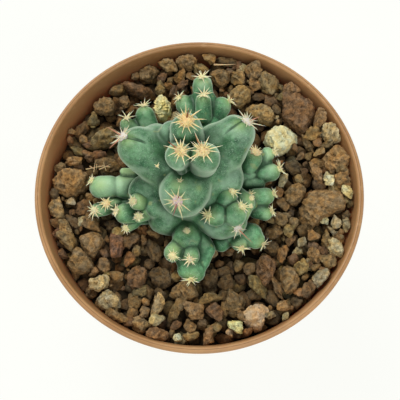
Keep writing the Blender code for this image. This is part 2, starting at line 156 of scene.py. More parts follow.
def make_piece(name: str, points: Array, faces: Sequence[Array]) -> Piece:
    """A smooth-shaded mesh object at the origin, with its place in its mesh.

    Args:
        name: The piece's name.
        points: Its points, in millimetres from the rim's middle.
        faces: Arrays of corner indices, each for faces of equally many corners.

    Returns:
        The object, linked to the scene.
    """
    mesh = bpy.data.meshes.new(name)
    mesh.vertices.add(len(points))
    mesh.vertices.foreach_set("co", placed(points).astype(np.float32).ravel())
    corners = np.concatenate([array.ravel() for array in faces]).astype(np.int32)
    sides = np.concatenate([np.full(len(array), array.shape[1]) for array in faces])
    mesh.loops.add(len(corners))
    mesh.loops.foreach_set("vertex_index", corners)
    mesh.polygons.add(len(sides))
    mesh.polygons.foreach_set("loop_start", (np.cumsum(sides) - sides).astype(np.int32))
    mesh.update(calc_edges=True)
    mesh.shade_smooth()
    piece = bpy.data.objects.new(name, mesh)
    bpy.context.scene.collection.objects.link(piece)
    return piece


def set_tint(piece: Piece, colours: Array) -> None:
    """Stores a linear colour for each point, which the material reads as "tint"."""
    attribute = piece.data.attributes.new("tint", "FLOAT_COLOR", "POINT")
    rgba = np.concatenate([colours, np.ones((len(colours), 1))], 1)
    attribute.data.foreach_set("color", rgba.astype(np.float32).ravel())


def set_share(piece: Piece, name: str, values: Array) -> None:
    """Stores one number for each point under the name that the material reads."""
    attribute = piece.data.attributes.new(name, "FLOAT", "POINT")
    attribute.data.foreach_set("value", values.astype(np.float32))


def dress(piece: Piece, materials: Sequence[Material], stands_for: Sequence[str] = ()) -> None:
    """Gives a piece its materials, its body and the CAD nodes it stands for.

    Args:
        piece: The finished mesh object.
        materials: Its material slots in order.
        stands_for: Names of the CAD nodes that it replaces.
    """
    for material in materials:
        piece.data.materials.append(material)
    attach(piece, BODY)
    if stands_for:
        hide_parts(*stands_for)
    LOG.info("%s: %d faces", piece.name, len(piece.data.polygons))


def ripples(points: Array, length: float, seed: int, waves: int = 8) -> Array:
    """Smooth unevenness, mostly from -1 to 1: a sum of sines of about one length over sqrt(2 * waves).

    Args:
        points: Where it is wanted, shape (..., 3).
        length: The waves' rough length, in the points' unit.
        seed: Picks the directions and phases.
        waves: How many sines.

    Returns:
        One number for each point.
    """
    rng = np.random.default_rng(seed)
    vectors = unit(rng.normal(size=(waves, 3))) * math.tau / (length * rng.uniform(0.7, 1.5, (waves, 1)))
    return np.sin(points @ vectors.T + rng.uniform(0, math.tau, waves)).sum(-1) / math.sqrt(2 * waves)


# Node trees


class Tree:
    """Adds and joins the nodes of one node tree."""

    def __init__(self, tree: NodeTree) -> None:
        """Keeps the tree that the nodes go into."""
        self.tree = tree

    def node(self, kind: str, inputs: dict | None = None, **settings: object) -> Node:
        """Adds a node.

        Args:
            kind: Blender's name for the node's type.
            inputs: A socket to link or a value to set, for each input's name or number.
            **settings: Properties of the node.

        Returns:
            The node.
        """
        made = self.tree.nodes.new(kind)
        for name, value in settings.items():
            setattr(made, name, value)
        return self.feed(made, inputs or {})

    def feed(self, node: Node, inputs: dict) -> Node:
        """Links a socket or sets a value for each named or numbered input of a node."""
        for name, value in inputs.items():
            if isinstance(value, Socket):
                self.tree.links.new(value, node.inputs[name])
            else:
                node.inputs[name].default_value = value
        return node

    def maths(self, operation: str, one: object, other: object = 0.0) -> Socket:
        """The result of a Math node."""
        return self.node("ShaderNodeMath", {0: one, 1: other}, operation=operation).outputs[0]

    def times(self, one: object, other: object) -> Socket:
        """Two numbers multiplied."""
        return self.maths("MULTIPLY", one, other)

    def level(self, value: object, low: float, high: float, to: tuple = (0.0, 1.0)) -> Socket:
        """The value mapped from low..high to the pair in to, held within it."""
        inputs = {"Value": value, 1: low, 2: high, 3: to[0], 4: to[1]}
        return self.node("ShaderNodeMapRange", inputs, clamp=True).outputs[0]

    def mix(self, share: object, one: object, other: object, kind: str = "MIX") -> Socket:
        """Two colours mixed by a share, or blended in another named way."""
        inputs = {0: share, 6: opaque(one), 7: opaque(other)}
        return self.node("ShaderNodeMix", inputs, data_type="RGBA", blend_type=kind).outputs[2]

    def noise(self, place: object, size: object, detail: float = 2.0, rough: float = 0.5) -> Socket:
        """Noise of 0 to 1 whose features are about size millimetres across."""
        scale = self.maths("DIVIDE", 1 / MM, size)
        inputs = {"Vector": place, "Scale": scale, "Detail": detail, "Roughness": rough}
        return self.node("ShaderNodeTexNoise", inputs).outputs[0]

    def attribute(self, name: str, output: str = "Fac") -> Socket:
        """A number or colour that the piece's points carry."""
        return self.node("ShaderNodeAttribute", attribute_name=name).outputs[output]

    def place(self) -> Socket:
        """Object coordinates, in metres."""
        return self.node("ShaderNodeTexCoord").outputs["Object"]

    def group(self, group: NodeTree, inputs: dict) -> Node:
        """Places a node group with its values."""
        made = self.node("ShaderNodeGroup", node_tree=group)
        return self.feed(made, {name: opaque(value) for name, value in inputs.items()})


def opaque(value: object) -> object:
    """A colour triple with its alpha of 1; anything else unchanged."""
    return (*value, 1.0) if isinstance(value, tuple) and len(value) == 3 else value


class Effect:
    """A shared node group under construction, with named inputs and outputs."""

    KINDS = {"colour": "NodeSocketColor", "number": "NodeSocketFloat", "vector": "NodeSocketVector"}

    def __init__(self, name: str, inputs: dict[str, str], outputs: dict[str, str]) -> None:
        """Makes the empty group.

        Args:
            name: The group's name.
            inputs: The kind of each input: colour, number or vector.
            outputs: The kind of each output.
        """
        self.group = bpy.data.node_groups.new(name, "ShaderNodeTree")
        for way, sockets in (("INPUT", inputs), ("OUTPUT", outputs)):
            for socket, kind in sockets.items():
                self.group.interface.new_socket(socket, in_out=way, socket_type=self.KINDS[kind])
        self.tree = Tree(self.group)
        self.given = self.tree.node("NodeGroupInput").outputs

    def put(self, results: dict[str, Socket]) -> NodeTree:
        """Joins the results to the outputs and gives the finished group back."""
        self.tree.node("NodeGroupOutput", results)
        return self.group


def mottle_effect() -> NodeTree:
    """Two colours that run into each other in soft patches: noise spread about its middle."""
    effect = Effect(
        "mottle",
        {"Place": "vector", "Size": "number", "Dark": "colour", "Light": "colour"},
        {"Color": "colour", "Mask": "number"},
    )
    tree, given = effect.tree, effect.given
    mask = tree.level(tree.noise(given["Place"], given["Size"], 4.0, 0.6), 0.36, 0.64)
    return effect.put({"Color": tree.mix(mask, given["Dark"], given["Light"]), "Mask": mask})


def speckle_effect() -> NodeTree:
    """Fine raised dots: noise of a small size, kept only above a threshold."""
    effect = Effect(
        "speckle",
        {"Place": "vector", "Size": "number", "Threshold": "number"},
        {"Mask": "number", "Height": "number"},
    )
    tree, given = effect.tree, effect.given
    noise = tree.noise(given["Place"], given["Size"], 1.0)
    above = tree.maths("SUBTRACT", noise, given["Threshold"])
    mask = tree.level(above, 0.0, 0.09)
    return effect.put({"Mask": mask, "Height": noise})


def rock_effect() -> NodeTree:
    """Weathered, porous rock: a tint in patches, crumbs and grains, paler on crests, and painted shade in the
    crumbled dips and in its pits.
    """
    effect = Effect(
        "weathered_rock",
        {
            "Place": "vector", "Tint": "colour", "Grain": "number",
            "Pits": "number", "Crag": "number", "Contrast": "number",
        },
        {"Color": "colour", "Height": "number"},
    )
    tree, given = effect.tree, effect.given
    grain = given["Grain"]
    patch = tree.noise(given["Place"], tree.times(grain, 8.0), 3.0)
    crumb = tree.noise(given["Place"], tree.times(grain, 2.8), 5.0, 0.66)
    fine = tree.noise(given["Place"], grain, 4.0, 0.7)
    yellowed = tree.level(patch, 0.35, 0.65, (0.0, 0.5))
    colour = tree.mix(yellowed, given["Tint"], (0.49, 0.41, 0.235), "SOFT_LIGHT")
    stain = tree.level(tree.noise(given["Place"], tree.times(grain, 4.5), 3.0), 0.4, 0.6)
    colour = tree.mix(1.0, colour, tree.mix(stain, (0.93, 1.0, 1.12), (1.1, 0.99, 0.82)), "MULTIPLY")
    crumbs, grains = tree.level(crumb, 0.34, 0.66, (0.56, 1.3)), tree.level(fine, 0.32, 0.68, (0.66, 1.34))
    light = tree.times(crumbs, grains)
    # Painted shade in the crumbled dips, lighter on crests
    light = tree.times(light, tree.level(given["Crag"], 0.1, 0.85, (0.6, 1.3)))
    swing = tree.times(tree.maths("SUBTRACT", light, 1.0), given["Contrast"])
    colour = tree.mix(1.0, colour, tree.maths("ADD", swing, 1.0), "MULTIPLY")
    # Painted shade: near black in the pits
    hollow = tree.level(tree.maths("SUBTRACT", given["Pits"], crumb), 0.0, 0.08, (0.0, 0.7))
    colour = tree.mix(hollow, colour, (0.026, 0.019, 0.008))
    height = tree.maths("ADD", tree.times(crumb, 0.6), tree.times(fine, 0.4))
    return effect.put({"Color": colour, "Height": height})


MOTTLE = mottle_effect()
SPECKLE = speckle_effect()
ROCK = rock_effect()


def new_material(name: str) -> tuple[Material, Tree, Node]:
    """An empty material, its tree and its Principled shader."""
    material = bpy.data.materials.new(name)
    material.use_nodes = True
    return material, Tree(material.node_tree), material.node_tree.nodes["Principled BSDF"]


def bump(tree: Tree, shader: Node, height: Socket, strength: float, depth: float) -> None:
    """Feeds a height through a Bump node of a depth in millimetres to the shader's normal."""
    inputs = {"Strength": strength, "Distance": depth * MM, "Height": height}
    tree.tree.links.new(tree.node("ShaderNodeBump", inputs).outputs[0], shader.inputs["Normal"])


# Finishes


@dataclass(frozen=True)
class SkinFinish:
    """Waxy skin: pale bloom in patches and specks, painted paler spots, painted sheen at turning edges, and
    painted shade, deep green, in folds and enclosed places.
    """

    name: str
    shade: Colour
    light: Colour
    # Colour of the painted shade in folds and enclosed places
    painted_crease_shade: Colour
    young: Colour
    bloom: Colour
    bloom_threshold: float
    # Colour of the painted sheen on edges that turn away from the view
    edge: Colour = lit(206, 226, 198)

    def material(self) -> Material:
        """Builds the material."""
        material, tree, shader = new_material(self.name)
        place = tree.place()
        body = tree.group(MOTTLE, {"Place": place, "Size": 5.0, "Dark": self.shade, "Light": self.light})
        veins = tree.group(MOTTLE, {"Place": place, "Size": 1.1, "Dark": (0.28,) * 3, "Light": (0.68,) * 3})
        colour = tree.mix(0.6, body.outputs["Color"], veins.outputs["Color"], "OVERLAY")
        patches = tree.level(tree.noise(place, 7.0, 3.0, 0.6), 0.48, 0.64, (0.0, 0.42))
        colour = tree.mix(patches, colour, self.bloom)
        # Painted paler spots: partly waxy bloom, partly painted light
        colour = tree.mix(tree.level(tree.attribute("pale_share"), 0.0, 1.0, (0.0, 0.8)), colour, self.bloom)
        colour = tree.mix(tree.level(tree.attribute("young"), 0.0, 1.0, (0.0, 0.75)), colour, self.young)
        specks = tree.group(SPECKLE, {"Place": place, "Size": 0.32, "Threshold": self.bloom_threshold})
        dust = tree.noise(place, 3.0, 3.0)
        share = tree.times(specks.outputs["Mask"], tree.level(dust, 0.35, 0.6, (0.06, 0.42)))
        colour = tree.mix(share, colour, self.bloom)
        # Painted sheen: paler where the skin turns away from the view
        edge = tree.node("ShaderNodeLayerWeight", {"Blend": 0.5}).outputs["Facing"]
        colour = tree.mix(tree.level(edge, 0.48, 0.94, (0.0, 0.62)), colour, self.edge)
        # Painted shade: deep green in enclosed places and in the skin's folds
        colour = tree.mix(tree.level(tree.attribute("painted_occlusion"), 0.1, 0.8, (0.0, 0.85)), colour, self.painted_crease_shade)
        colour = tree.mix(tree.level(tree.attribute("painted_crease_shade"), 0.0, 1.0, (0.0, 0.9)), colour, self.painted_crease_shade)
        scars = tree.group(SPECKLE, {"Place": place, "Size": 2.6, "Threshold": 0.67})
        colour = tree.mix(tree.times(scars.outputs["Mask"], 0.35), colour, lit(176, 176, 108))
        rough = tree.level(dust, 0.3, 0.7, (0.40, 0.60))
        fine = tree.noise(place, 1.0, 3.0)
        wrinkles = tree.maths("ADD", fine, tree.times(specks.outputs["Height"], 0.4))
        height = tree.maths("ADD", wrinkles, tree.times(dust, 1.2))
        bump(tree, shader, height, 0.55, 0.2)
        tree.feed(shader, {
            "Base Color": colour, "Roughness": rough, "Specular IOR Level": 0.4,
            "Sheen Weight": 0.45, "Sheen Roughness": 0.35, "Sheen Tint": opaque(lit(222, 240, 216)),
            "Subsurface Weight": 0.1, "Subsurface Radius": (0.4, 1.0, 0.4), "Subsurface Scale": 1.0 * MM,
        })
        return material


@dataclass(frozen=True)
class TintFinish:
    """Fibrous stuff in the colour that each point carries: spine horn, wool or straw."""

    name: str
    roughness: float
    fibre: float
    sheen: float = 0.0

    def material(self) -> Material:
        """Builds the material."""
        material, tree, shader = new_material(self.name)
        place = tree.place()
        grain = tree.group(
            MOTTLE, {"Place": place, "Size": self.fibre, "Dark": (0.84,) * 3, "Light": (1.0,) * 3}
        )
        colour = tree.mix(1.0, tree.attribute("tint", "Color"), grain.outputs["Color"], "MULTIPLY")
        rough = tree.level(grain.outputs["Mask"], 0.0, 1.0, (self.roughness - 0.08, self.roughness + 0.08))
        bump(tree, shader, grain.outputs["Mask"], 0.35, 0.05)
        tree.feed(shader, {
            "Base Color": colour, "Roughness": rough, "Sheen Weight": self.sheen,
            "Subsurface Weight": 0.15, "Subsurface Scale": 0.5 * MM,
        })
        return material


@dataclass(frozen=True)
class RockFinish:
    """Rock of a grain size in millimetres, in the colour that each point carries or in one colour."""

    name: str
    grain: float
    pits: float
    depth: float
    colour: Colour | None = None
    contrast: float = 1.0
    roughness: Pair = (0.78, 0.98)

    def material(self) -> Material:
        """Builds the material."""
        material, tree, shader = new_material(self.name)
        tint = self.colour or tree.attribute("tint", "Color")
        crag = tree.attribute("crag") if self.colour is None else 0.5
        inputs = {"Place": tree.place(), "Tint": tint, "Grain": self.grain, "Pits": self.pits}
        rock = tree.group(ROCK, inputs | {"Crag": crag, "Contrast": self.contrast})
        rough = tree.level(rock.outputs["Height"], 0.2, 0.8, self.roughness)
        bump(tree, shader, rock.outputs["Height"], 0.9, self.depth)
        colour = rock.outputs["Color"]
        tree.feed(shader, {"Base Color": colour, "Roughness": rough, "Specular IOR Level": 0.25})
        return material


@dataclass(frozen=True)
class PlasticFinish:
    """Moulded terracotta-coloured plastic: faint flow marks, scuffs, dust inside the wall, and painted shade
    that deepens down the inner wall and at its back.
    """

    name: str = "terracotta_plastic"
    shade: Colour = lit(168, 124, 78)
    light: Colour = lit(184, 140, 92)
    scuff: Colour = lit(208, 170, 124)
    # dust colours dust specks, and dust with painted shade deepening down the inner wall
    dust: Colour = lit(154, 106, 64)
    # Colour of the painted shade at the back of the inner wall
    painted_wall_shade_colour: Colour = lit(84, 58, 36)

    def material(self) -> Material:
        """Builds the material."""
        material, tree, shader = new_material(self.name)
        place = tree.place()
        body = tree.group(MOTTLE, {"Place": place, "Size": 16.0, "Dark": self.shade, "Light": self.light})
        stretched = tree.node("ShaderNodeMapping", {"Vector": place, "Scale": (1.0, 1.0, 6.0)}).outputs[0]
        scuffs = tree.group(SPECKLE, {"Place": stretched, "Size": 2.4, "Threshold": 0.62})
        colour = tree.mix(tree.times(scuffs.outputs["Mask"], 0.3), body.outputs["Color"], self.scuff)
        # Dust and painted shade: darker the lower on the inner wall
        patchy = tree.level(tree.noise(place, 5.0, 4.0), 0.2, 0.5, (0.7, 1.0))
        dust_and_painted_shade = tree.times(tree.attribute("inside"), patchy)
        colour = tree.mix(tree.times(dust_and_painted_shade, 0.95), colour, self.dust)
        # Painted shade on the inner wall, centred at its back
        painted_wall_shade = tree.times(tree.attribute("painted_wall_shade"), patchy)
        colour = tree.mix(tree.times(painted_wall_shade, 0.8), colour, self.painted_wall_shade_colour)
        specks = tree.group(SPECKLE, {"Place": place, "Size": 0.8, "Threshold": 0.69})
        colour = tree.mix(tree.times(specks.outputs["Mask"], 0.4), colour, self.dust)
        rough = tree.level(body.outputs["Mask"], 0.0, 1.0, (0.46, 0.6))
        height = tree.maths("ADD", scuffs.outputs["Height"], tree.noise(place, 0.5, 2.0))
        bump(tree, shader, height, 0.25, 0.08)
        tree.feed(shader, {
            "Base Color": colour, "Roughness": rough, "Subsurface Weight": 0.06, "Subsurface Scale": 1.5 * MM,
        })
        return material


# Grown forms


@dataclass(frozen=True)
class Lobe:
    """A round cone: a ball of foot_radius at foot, drawn straight to one of tip_radius at tip."""

    foot: Place
    foot_radius: float
    tip: Place
    tip_radius: float
    blend: float = 1.4

    def distance(self, points: Array) -> Array:
        """Distance from each point to the round cone, negative inside.

        The point is measured along and across the axis; beyond the slanted caps the nearest place is
        on an end ball, and between them it is on the straight side.
        """
        foot, axis = np.array(self.foot), np.subtract(self.tip, self.foot)
        span = axis @ axis
        taper = self.foot_radius - self.tip_radius
        slant = span - taper * taper
        offset = points - foot
        along = offset @ axis
        past = along - span
        across = ((offset * span - along[:, None] * axis) ** 2).sum(1)
        limit = np.sign(taper) * taper * taper * across
        side = (np.sqrt(across * slant / span) + along * taper) / span - self.foot_radius
        at_tip = np.sqrt(across + past * past * span) / span - self.tip_radius
        at_foot = np.sqrt(across + along * along * span) / span - self.foot_radius
        result = np.where(np.sign(along) * slant * along * along * span < limit, at_foot, side)
        return np.where(np.sign(past) * slant * past * past * span > limit, at_tip, result)


@dataclass(frozen=True)
class Groove:
    """A furrow pressed into the skin along the line from start to end, seen from the direction look."""

    start: Place
    end: Place
    look: Place
    width: float = 0.5
    depth: float = 0.9

    def sunk(self, points: Array) -> Array:
        """How far points are sunk: depth * exp(-(across / width)^2), fading past the ends and behind."""
        start, line = np.array(self.start), np.subtract(self.end, self.start)
        length = np.linalg.norm(line)
        along_way, side_way = line / length, unit(np.cross(self.look, line))
        offset = points - start
        along, across = offset @ along_way, offset @ side_way
        past = np.maximum(np.abs(along - length / 2) - length / 2, 0)
        front = np.clip((offset @ unit(np.array(self.look))) / 3.0 + 1.0, 0, 1)
        return self.depth * front * np.exp(-((across / self.width) ** 2) - (past / (2.2 * self.width)) ** 2)


def smooth_least(one: Array, other: Array, blend: float) -> Array:
    """The smaller of two distances, eased over a band: min - h * h / (4 * blend), h the band's overlap."""
    overlap = np.maximum(blend - np.abs(one - other), 0)
    return np.minimum(one, other) - overlap * overlap / (4 * blend)


@dataclass(frozen=True)
class Form:
    """The skin of a stem: the smooth union of its lobes, less its grooves, and slightly uneven."""

    lobes: tuple[Lobe, ...]
    heart: Place
    grooves: tuple[Groove, ...] = ()
    unevenness: float = 0.12
    seed: int = 1

    REACH = 48.0
    MARCH_STEPS = 46
    EASE_STEPS = 16
    CORNERS = np.array([(1, -1, -1), (-1, -1, 1), (-1, 1, -1), (1, 1, 1)], float)

    def distance(self, points: Array) -> Array:
        """Distance in millimetres from each point to the skin, negative inside."""
        total = np.full(len(points), np.inf)
        for lobe in self.lobes:
            total = smooth_least(total, lobe.distance(points), lobe.blend)
        for groove in self.grooves:
            total = total + groove.sunk(points)
        return total + self.unevenness * ripples(points, 6.5, self.seed)

    def outward(self, points: Array, step: float = 0.15) -> Array:
        """Unit normals: the distance's slope, from samples at the corners of a small tetrahedron."""
        samples = [corner * self.distance(points + step * corner)[:, None] for corner in self.CORNERS]
        return unit(np.sum(samples, 0))

    def hollowness(self, points: Array, step: float = 0.7) -> Array:
        """How sharply the skin folds inwards, 0 to 1: -0.9 * the sum of second differences, less 0.1."""
        centre = self.distance(points)
        sides = sum(self.distance(points + way * step) for way in np.vstack([np.eye(3), -np.eye(3)]))
        return np.clip(-(sides - 6 * centre) / step**2 * 0.9 - 0.1, 0, 1)

    def seat(self, centre: Place, look: Place) -> Array:
        """The place on the skin that is met coming in towards centre against the direction look."""
        way = unit(np.array(look))
        reach = 14.0
        for _ in range(self.MARCH_STEPS):
            reach -= self.distance((np.array(centre) + way * reach)[None])[0]
        return np.array(centre) + way * reach

    def wrap(self, rows: int, columns: int) -> Array:
        """The skin as a grid of directions from the heart.

        Each point starts far out and walks in by 0.85 of its distance to the skin. Then the grid is evened:
        every point moves halfway to the mean of its neighbours, along the skin, and settles on it.

        Args:
            rows: Latitudes between the poles.
            columns: Longitudes.

        Returns:
            Points in the order that ball_faces wants.
        """
        ways = ball_grid(rows, columns)
        reach = np.full(len(ways), self.REACH)
        for _ in range(self.MARCH_STEPS):
            reach -= 0.85 * self.distance(self.heart + ways * reach[:, None])
        points = self.heart + ways * reach[:, None]
        for _ in range(self.EASE_STEPS):
            pull = 0.5 * (neighbour_mean(points, rows, columns) - points)
            normal = self.outward(points)
            points = points + pull - (pull * normal).sum(1, keepdims=True) * normal
            points = points - self.distance(points)[:, None] * normal
        return points


def neighbour_mean(points: Array, rows: int, columns: int) -> Array:
    """For each point of a ball grid, the mean of its four neighbours; for a pole, of its ring."""
    grid = points[:-2].reshape(rows, columns, 3)
    south, north = (np.broadcast_to(pole, (1, columns, 3)) for pole in points[-2:])
    below = np.concatenate([south, grid[:-1]])
    above = np.concatenate([grid[1:], north])
    mean = (below + above + np.roll(grid, 1, 1) + np.roll(grid, -1, 1)) / 4
    return np.concatenate([mean.reshape(-1, 3), grid[0].mean(0)[None], grid[-1].mean(0)[None]])


# Spines


class SpineTone(Enum):
    """The spines' colouring, by age: base, middle, tip, a central's base and tip, and the wool."""

    GOLDEN = (
        lit(238, 202, 128), lit(246, 224, 156), lit(248, 238, 196), lit(160, 96, 50), lit(104, 60, 34),
        lit(240, 208, 142)
    )
    HONEY = (
        lit(236, 204, 134), lit(248, 232, 172), lit(250, 244, 212), lit(190, 128, 74), lit(128, 76, 44),
        lit(240, 214, 156)
    )
    CREAM = (
        lit(250, 232, 174), lit(252, 240, 190), lit(252, 246, 214), lit(206, 150, 96), lit(150, 92, 60),
        lit(238, 226, 180)
    )
    PALE = (
        lit(236, 226, 190), lit(232, 226, 184), lit(232, 228, 196), lit(206, 150, 116), lit(170, 108, 84),
        lit(240, 230, 216)
    )
    PINKISH = (
        lit(238, 216, 168), lit(232, 222, 166), lit(226, 222, 170), lit(166, 110, 100), lit(110, 62, 54),
        lit(228, 204, 196)
    )
    FRESH = (
        lit(252, 230, 158), lit(254, 244, 190), lit(254, 250, 220), lit(226, 196, 110), lit(200, 160, 90),
        lit(252, 238, 176)
    )
    DRY = (
        lit(200, 170, 120), lit(206, 178, 130), lit(190, 160, 120), lit(150, 104, 70), lit(110, 70, 46),
        lit(206, 190, 160)
    )
    DULL = (
        lit(236, 222, 168), lit(240, 230, 182), lit(240, 236, 200), lit(170, 130, 90), lit(130, 90, 60),
        lit(222, 212, 156)
    )


def spine_points(
    base: Array, way: Array, length: Array, girth: Array, bend: Array, rows: int, sides: int
) -> Array:
    """Tapered spines, each a round profile carried along its own slightly bent path.

    At t from 0 to 1 the middle is base + way * length * t + bend * length * t * t, and the radius is
    girth * (1 - t) ** 0.75, with a swelling of a quarter at the very base.

    Args:
        base: Where each spine starts, shape (n, 3).
        way: Its unit direction, shape (n, 3).
        length: Its length, shape (n,).
        girth: Its radius at the base, shape (n,).
        bend: How far it bends for its length, shape (n, 3).
        rows: Rings along it.
        sides: Points round it.

    Returns:
        Points of shape (n, rows * sides + 2, 3), each spine in the order that ball_faces wants.
    """
    t = np.linspace(0, 0.97, rows)[None, :, None]
    size = length[:, None, None]
    middle = base[:, None] + way[:, None] * size * t + bend[:, None] * size * t * t
    radius = girth[:, None, None] * (1 - t) ** 0.75 * (1 + 0.25 * np.exp(-t / 0.06))
    helper = np.where(np.abs(way[:, 2:]) < 0.9, (0.0, 0.0, 1.0), (1.0, 0.0, 0.0))
    first = unit(np.cross(helper, way))
    second = np.cross(way, first)
    angle = np.linspace(0, math.tau, sides, endpoint=False)[:, None]
    ring = np.cos(angle) * first[:, None] + np.sin(angle) * second[:, None]
    body = middle[:, :, None] + radius[..., None] * ring[:, None]
    ends = np.stack([base - way * 0.05, base + way * length[:, None] + bend * length[:, None]], 1)
    return np.concatenate([body.reshape(len(base), -1, 3), ends], 1)


def spine_tints(tone: Array, rows: int, sides: int) -> Array:
    """Colours for spine_points: from base through middle to tip along each spine.

    Args:
        tone: Base, middle and tip colours of each spine, shape (n, 3, 3).
        rows: Rings along it.
        sides: Points round it.

    Returns:
        Colours of shape (n, rows * sides + 2, 3).
    """
    t = np.linspace(0, 1, rows)[None, :, None]
    lower = np.clip(t * 2, 0, 1)
    upper = np.clip(t * 2 - 1, 0, 1)
    along = tone[:, None, 0] * (1 - lower) + tone[:, None, 1] * (lower - upper) + tone[:, None, 2] * upper
    rings = np.repeat(along, sides, 1)
    return np.concatenate([rings, tone[:, :1], tone[:, 2:]], 1)


@dataclass(frozen=True)
class Cluster:
    """An areole's spines: its place, the way it faces, its radials, and its centrals' ways and lengths."""

    centre: Place
    look: Place
    length: float
    radials: int = 10
    tone: SpineTone = SpineTone.FRESH
    girth: float = 0.25
    rise: Pair = (6.0, 36.0)
    centrals: tuple[tuple[Place, float], ...] = ()
    wool: float = 0.8
    inner: int = 0

    ROWS = 7
    SIDES = 7
    PAD_ROWS = 7
    PAD_COLUMNS = 14

    def build(self, name: str, form: Form, seed: int) -> Piece:
        """Grows the cluster on a stem.

        Radial i points at cos(rise) * (e1 cos a + e2 sin a) + sin(rise) * look, with a = 360 i / n and
        jitter, e1 and e2 across the look. Inner ones are shorter and steeper. The wool is a flattened
        dome with short fibres.

        Args:
            name: The piece's name.
            form: The stem's skin.
            seed: Picks the jitter.

        Returns:
            The mesh object, whose second material slot is the wool's.
        """
        rng = np.random.default_rng(seed)
        look = unit(np.array(self.look))
        seat = form.seat(self.centre, self.look)
        first = unit(np.cross((0.3, 0.2, 1.0), look))
        second = np.cross(look, first)
        n = self.radials
        angle = math.tau * (np.arange(n) + rng.uniform(-0.46, 0.46, n)) / n + rng.uniform(0, math.tau)
        rise = np.radians(rng.uniform(*self.rise, n))[:, None]
        spread = np.cos(angle)[:, None] * first + np.sin(angle)[:, None] * second
        ways = np.cos(rise) * spread + np.sin(rise) * look
        lengths = self.length * rng.uniform(0.6, 1.12, n)
        if self.inner:
            angle = math.tau * (np.arange(self.inner) + rng.uniform(-0.3, 0.3, self.inner)) / self.inner
            spread = np.cos(angle)[:, None] * first + np.sin(angle)[:, None] * second
            steep = np.radians(rng.uniform(24, 76, self.inner))[:, None]
            ways = np.concatenate([ways, np.cos(steep) * spread + np.sin(steep) * look])
            lengths = np.concatenate([lengths, self.length * rng.uniform(0.35, 0.7, self.inner)])
            n += self.inner
        base, middle, tip, central_base, central_tip, wool = (np.array(colour) for colour in self.tone.value)
        tones = np.tile(np.stack([base, middle, tip]), (n, 1, 1))
        if self.centrals:
            long_ways = unit(np.array([way for way, _ in self.centrals]))
            ways = np.concatenate([ways, long_ways])
            lengths = np.concatenate([lengths, [length for _, length in self.centrals]])
            dark = np.stack([central_base, (central_base + central_tip) / 2, central_tip])
            tones = np.concatenate([tones, np.tile(dark, (len(self.centrals), 1, 1))])
        count = len(ways)
        starts = seat + look * 0.25 + 0.5 * self.wool * (ways - (ways @ look)[:, None] * look)
        bend = unit(rng.normal(size=(count, 3))) * 0.1 - look * 0.05
        girth = self.girth * rng.uniform(0.75, 1.15, count)
        girth[n:] *= 1.15
        spines = spine_points(starts, ways, lengths, girth, bend, self.ROWS, self.SIDES)
        tints = spine_tints(tones * rng.uniform(0.9, 1.06, (count, 1, 1)), self.ROWS, self.SIDES)
        roughness = rng.normal(size=(self.PAD_ROWS * self.PAD_COLUMNS + 2, 1))
        dome = ball_grid(self.PAD_ROWS, self.PAD_COLUMNS) * (1 + 0.12 * roughness)
        turn = np.stack([first, second, look * 0.55])
        pad = seat + look * 0.1 + (dome * self.wool) @ turn
        fibres = int(46 * self.wool)
        fluff = unit(rng.normal(size=(fibres, 3)))
        fluff = unit(fluff + look * (0.2 - np.minimum((fluff @ look)[:, None], 0) * 2))
        roots = seat + look * 0.1 + 0.75 * self.wool * (fluff @ turn.T) @ turn
        hairs = spine_points(
            roots,
            fluff,
            self.wool * rng.uniform(0.5, 1.0, fibres),
            np.full(fibres, 0.045),
            0.3 * unit(rng.normal(size=(fibres, 3))),
            3,
            4,
        )
        wool_tint = np.tile(wool, (len(pad) + hairs.shape[0] * hairs.shape[1], 1))
        blocks = [spines.reshape(-1, 3), pad, hairs.reshape(-1, 3)]
        parts = [
            ball_faces(self.ROWS, self.SIDES, count),
            ball_faces(self.PAD_ROWS, self.PAD_COLUMNS),
            ball_faces(3, 4, fibres),
        ]
        shifts = np.cumsum([0, len(blocks[0]), len(blocks[1])])
        faces = [corners + shift for part, shift in zip(parts, shifts) for corners in part]
        piece = make_piece(name, np.concatenate(blocks), faces)
        horn_faces = sum(len(corners) for corners in parts[0])
        slots = np.arange(len(piece.data.polygons)) >= horn_faces
        piece.data.polygons.foreach_set("material_index", slots.astype(np.int32))
        jitter = rng.uniform(0.86, 1.06, (len(wool_tint), 1))
        set_tint(piece, np.concatenate([tints.reshape(-1, 3), wool_tint * jitter]))
        return piece


# The plant


def patches(points: Array, spots: Sequence[tuple[Sequence[float], float]]) -> Array:
    """Soft round patches: each point's largest exp(-(distance / reach) ** 2) of the (middle, reach) spots."""
    shares = [np.exp(-(((points - middle) ** 2).sum(1) / reach**2)) for middle, reach in spots]
    return np.max([np.zeros(len(points)), *shares], axis=0)


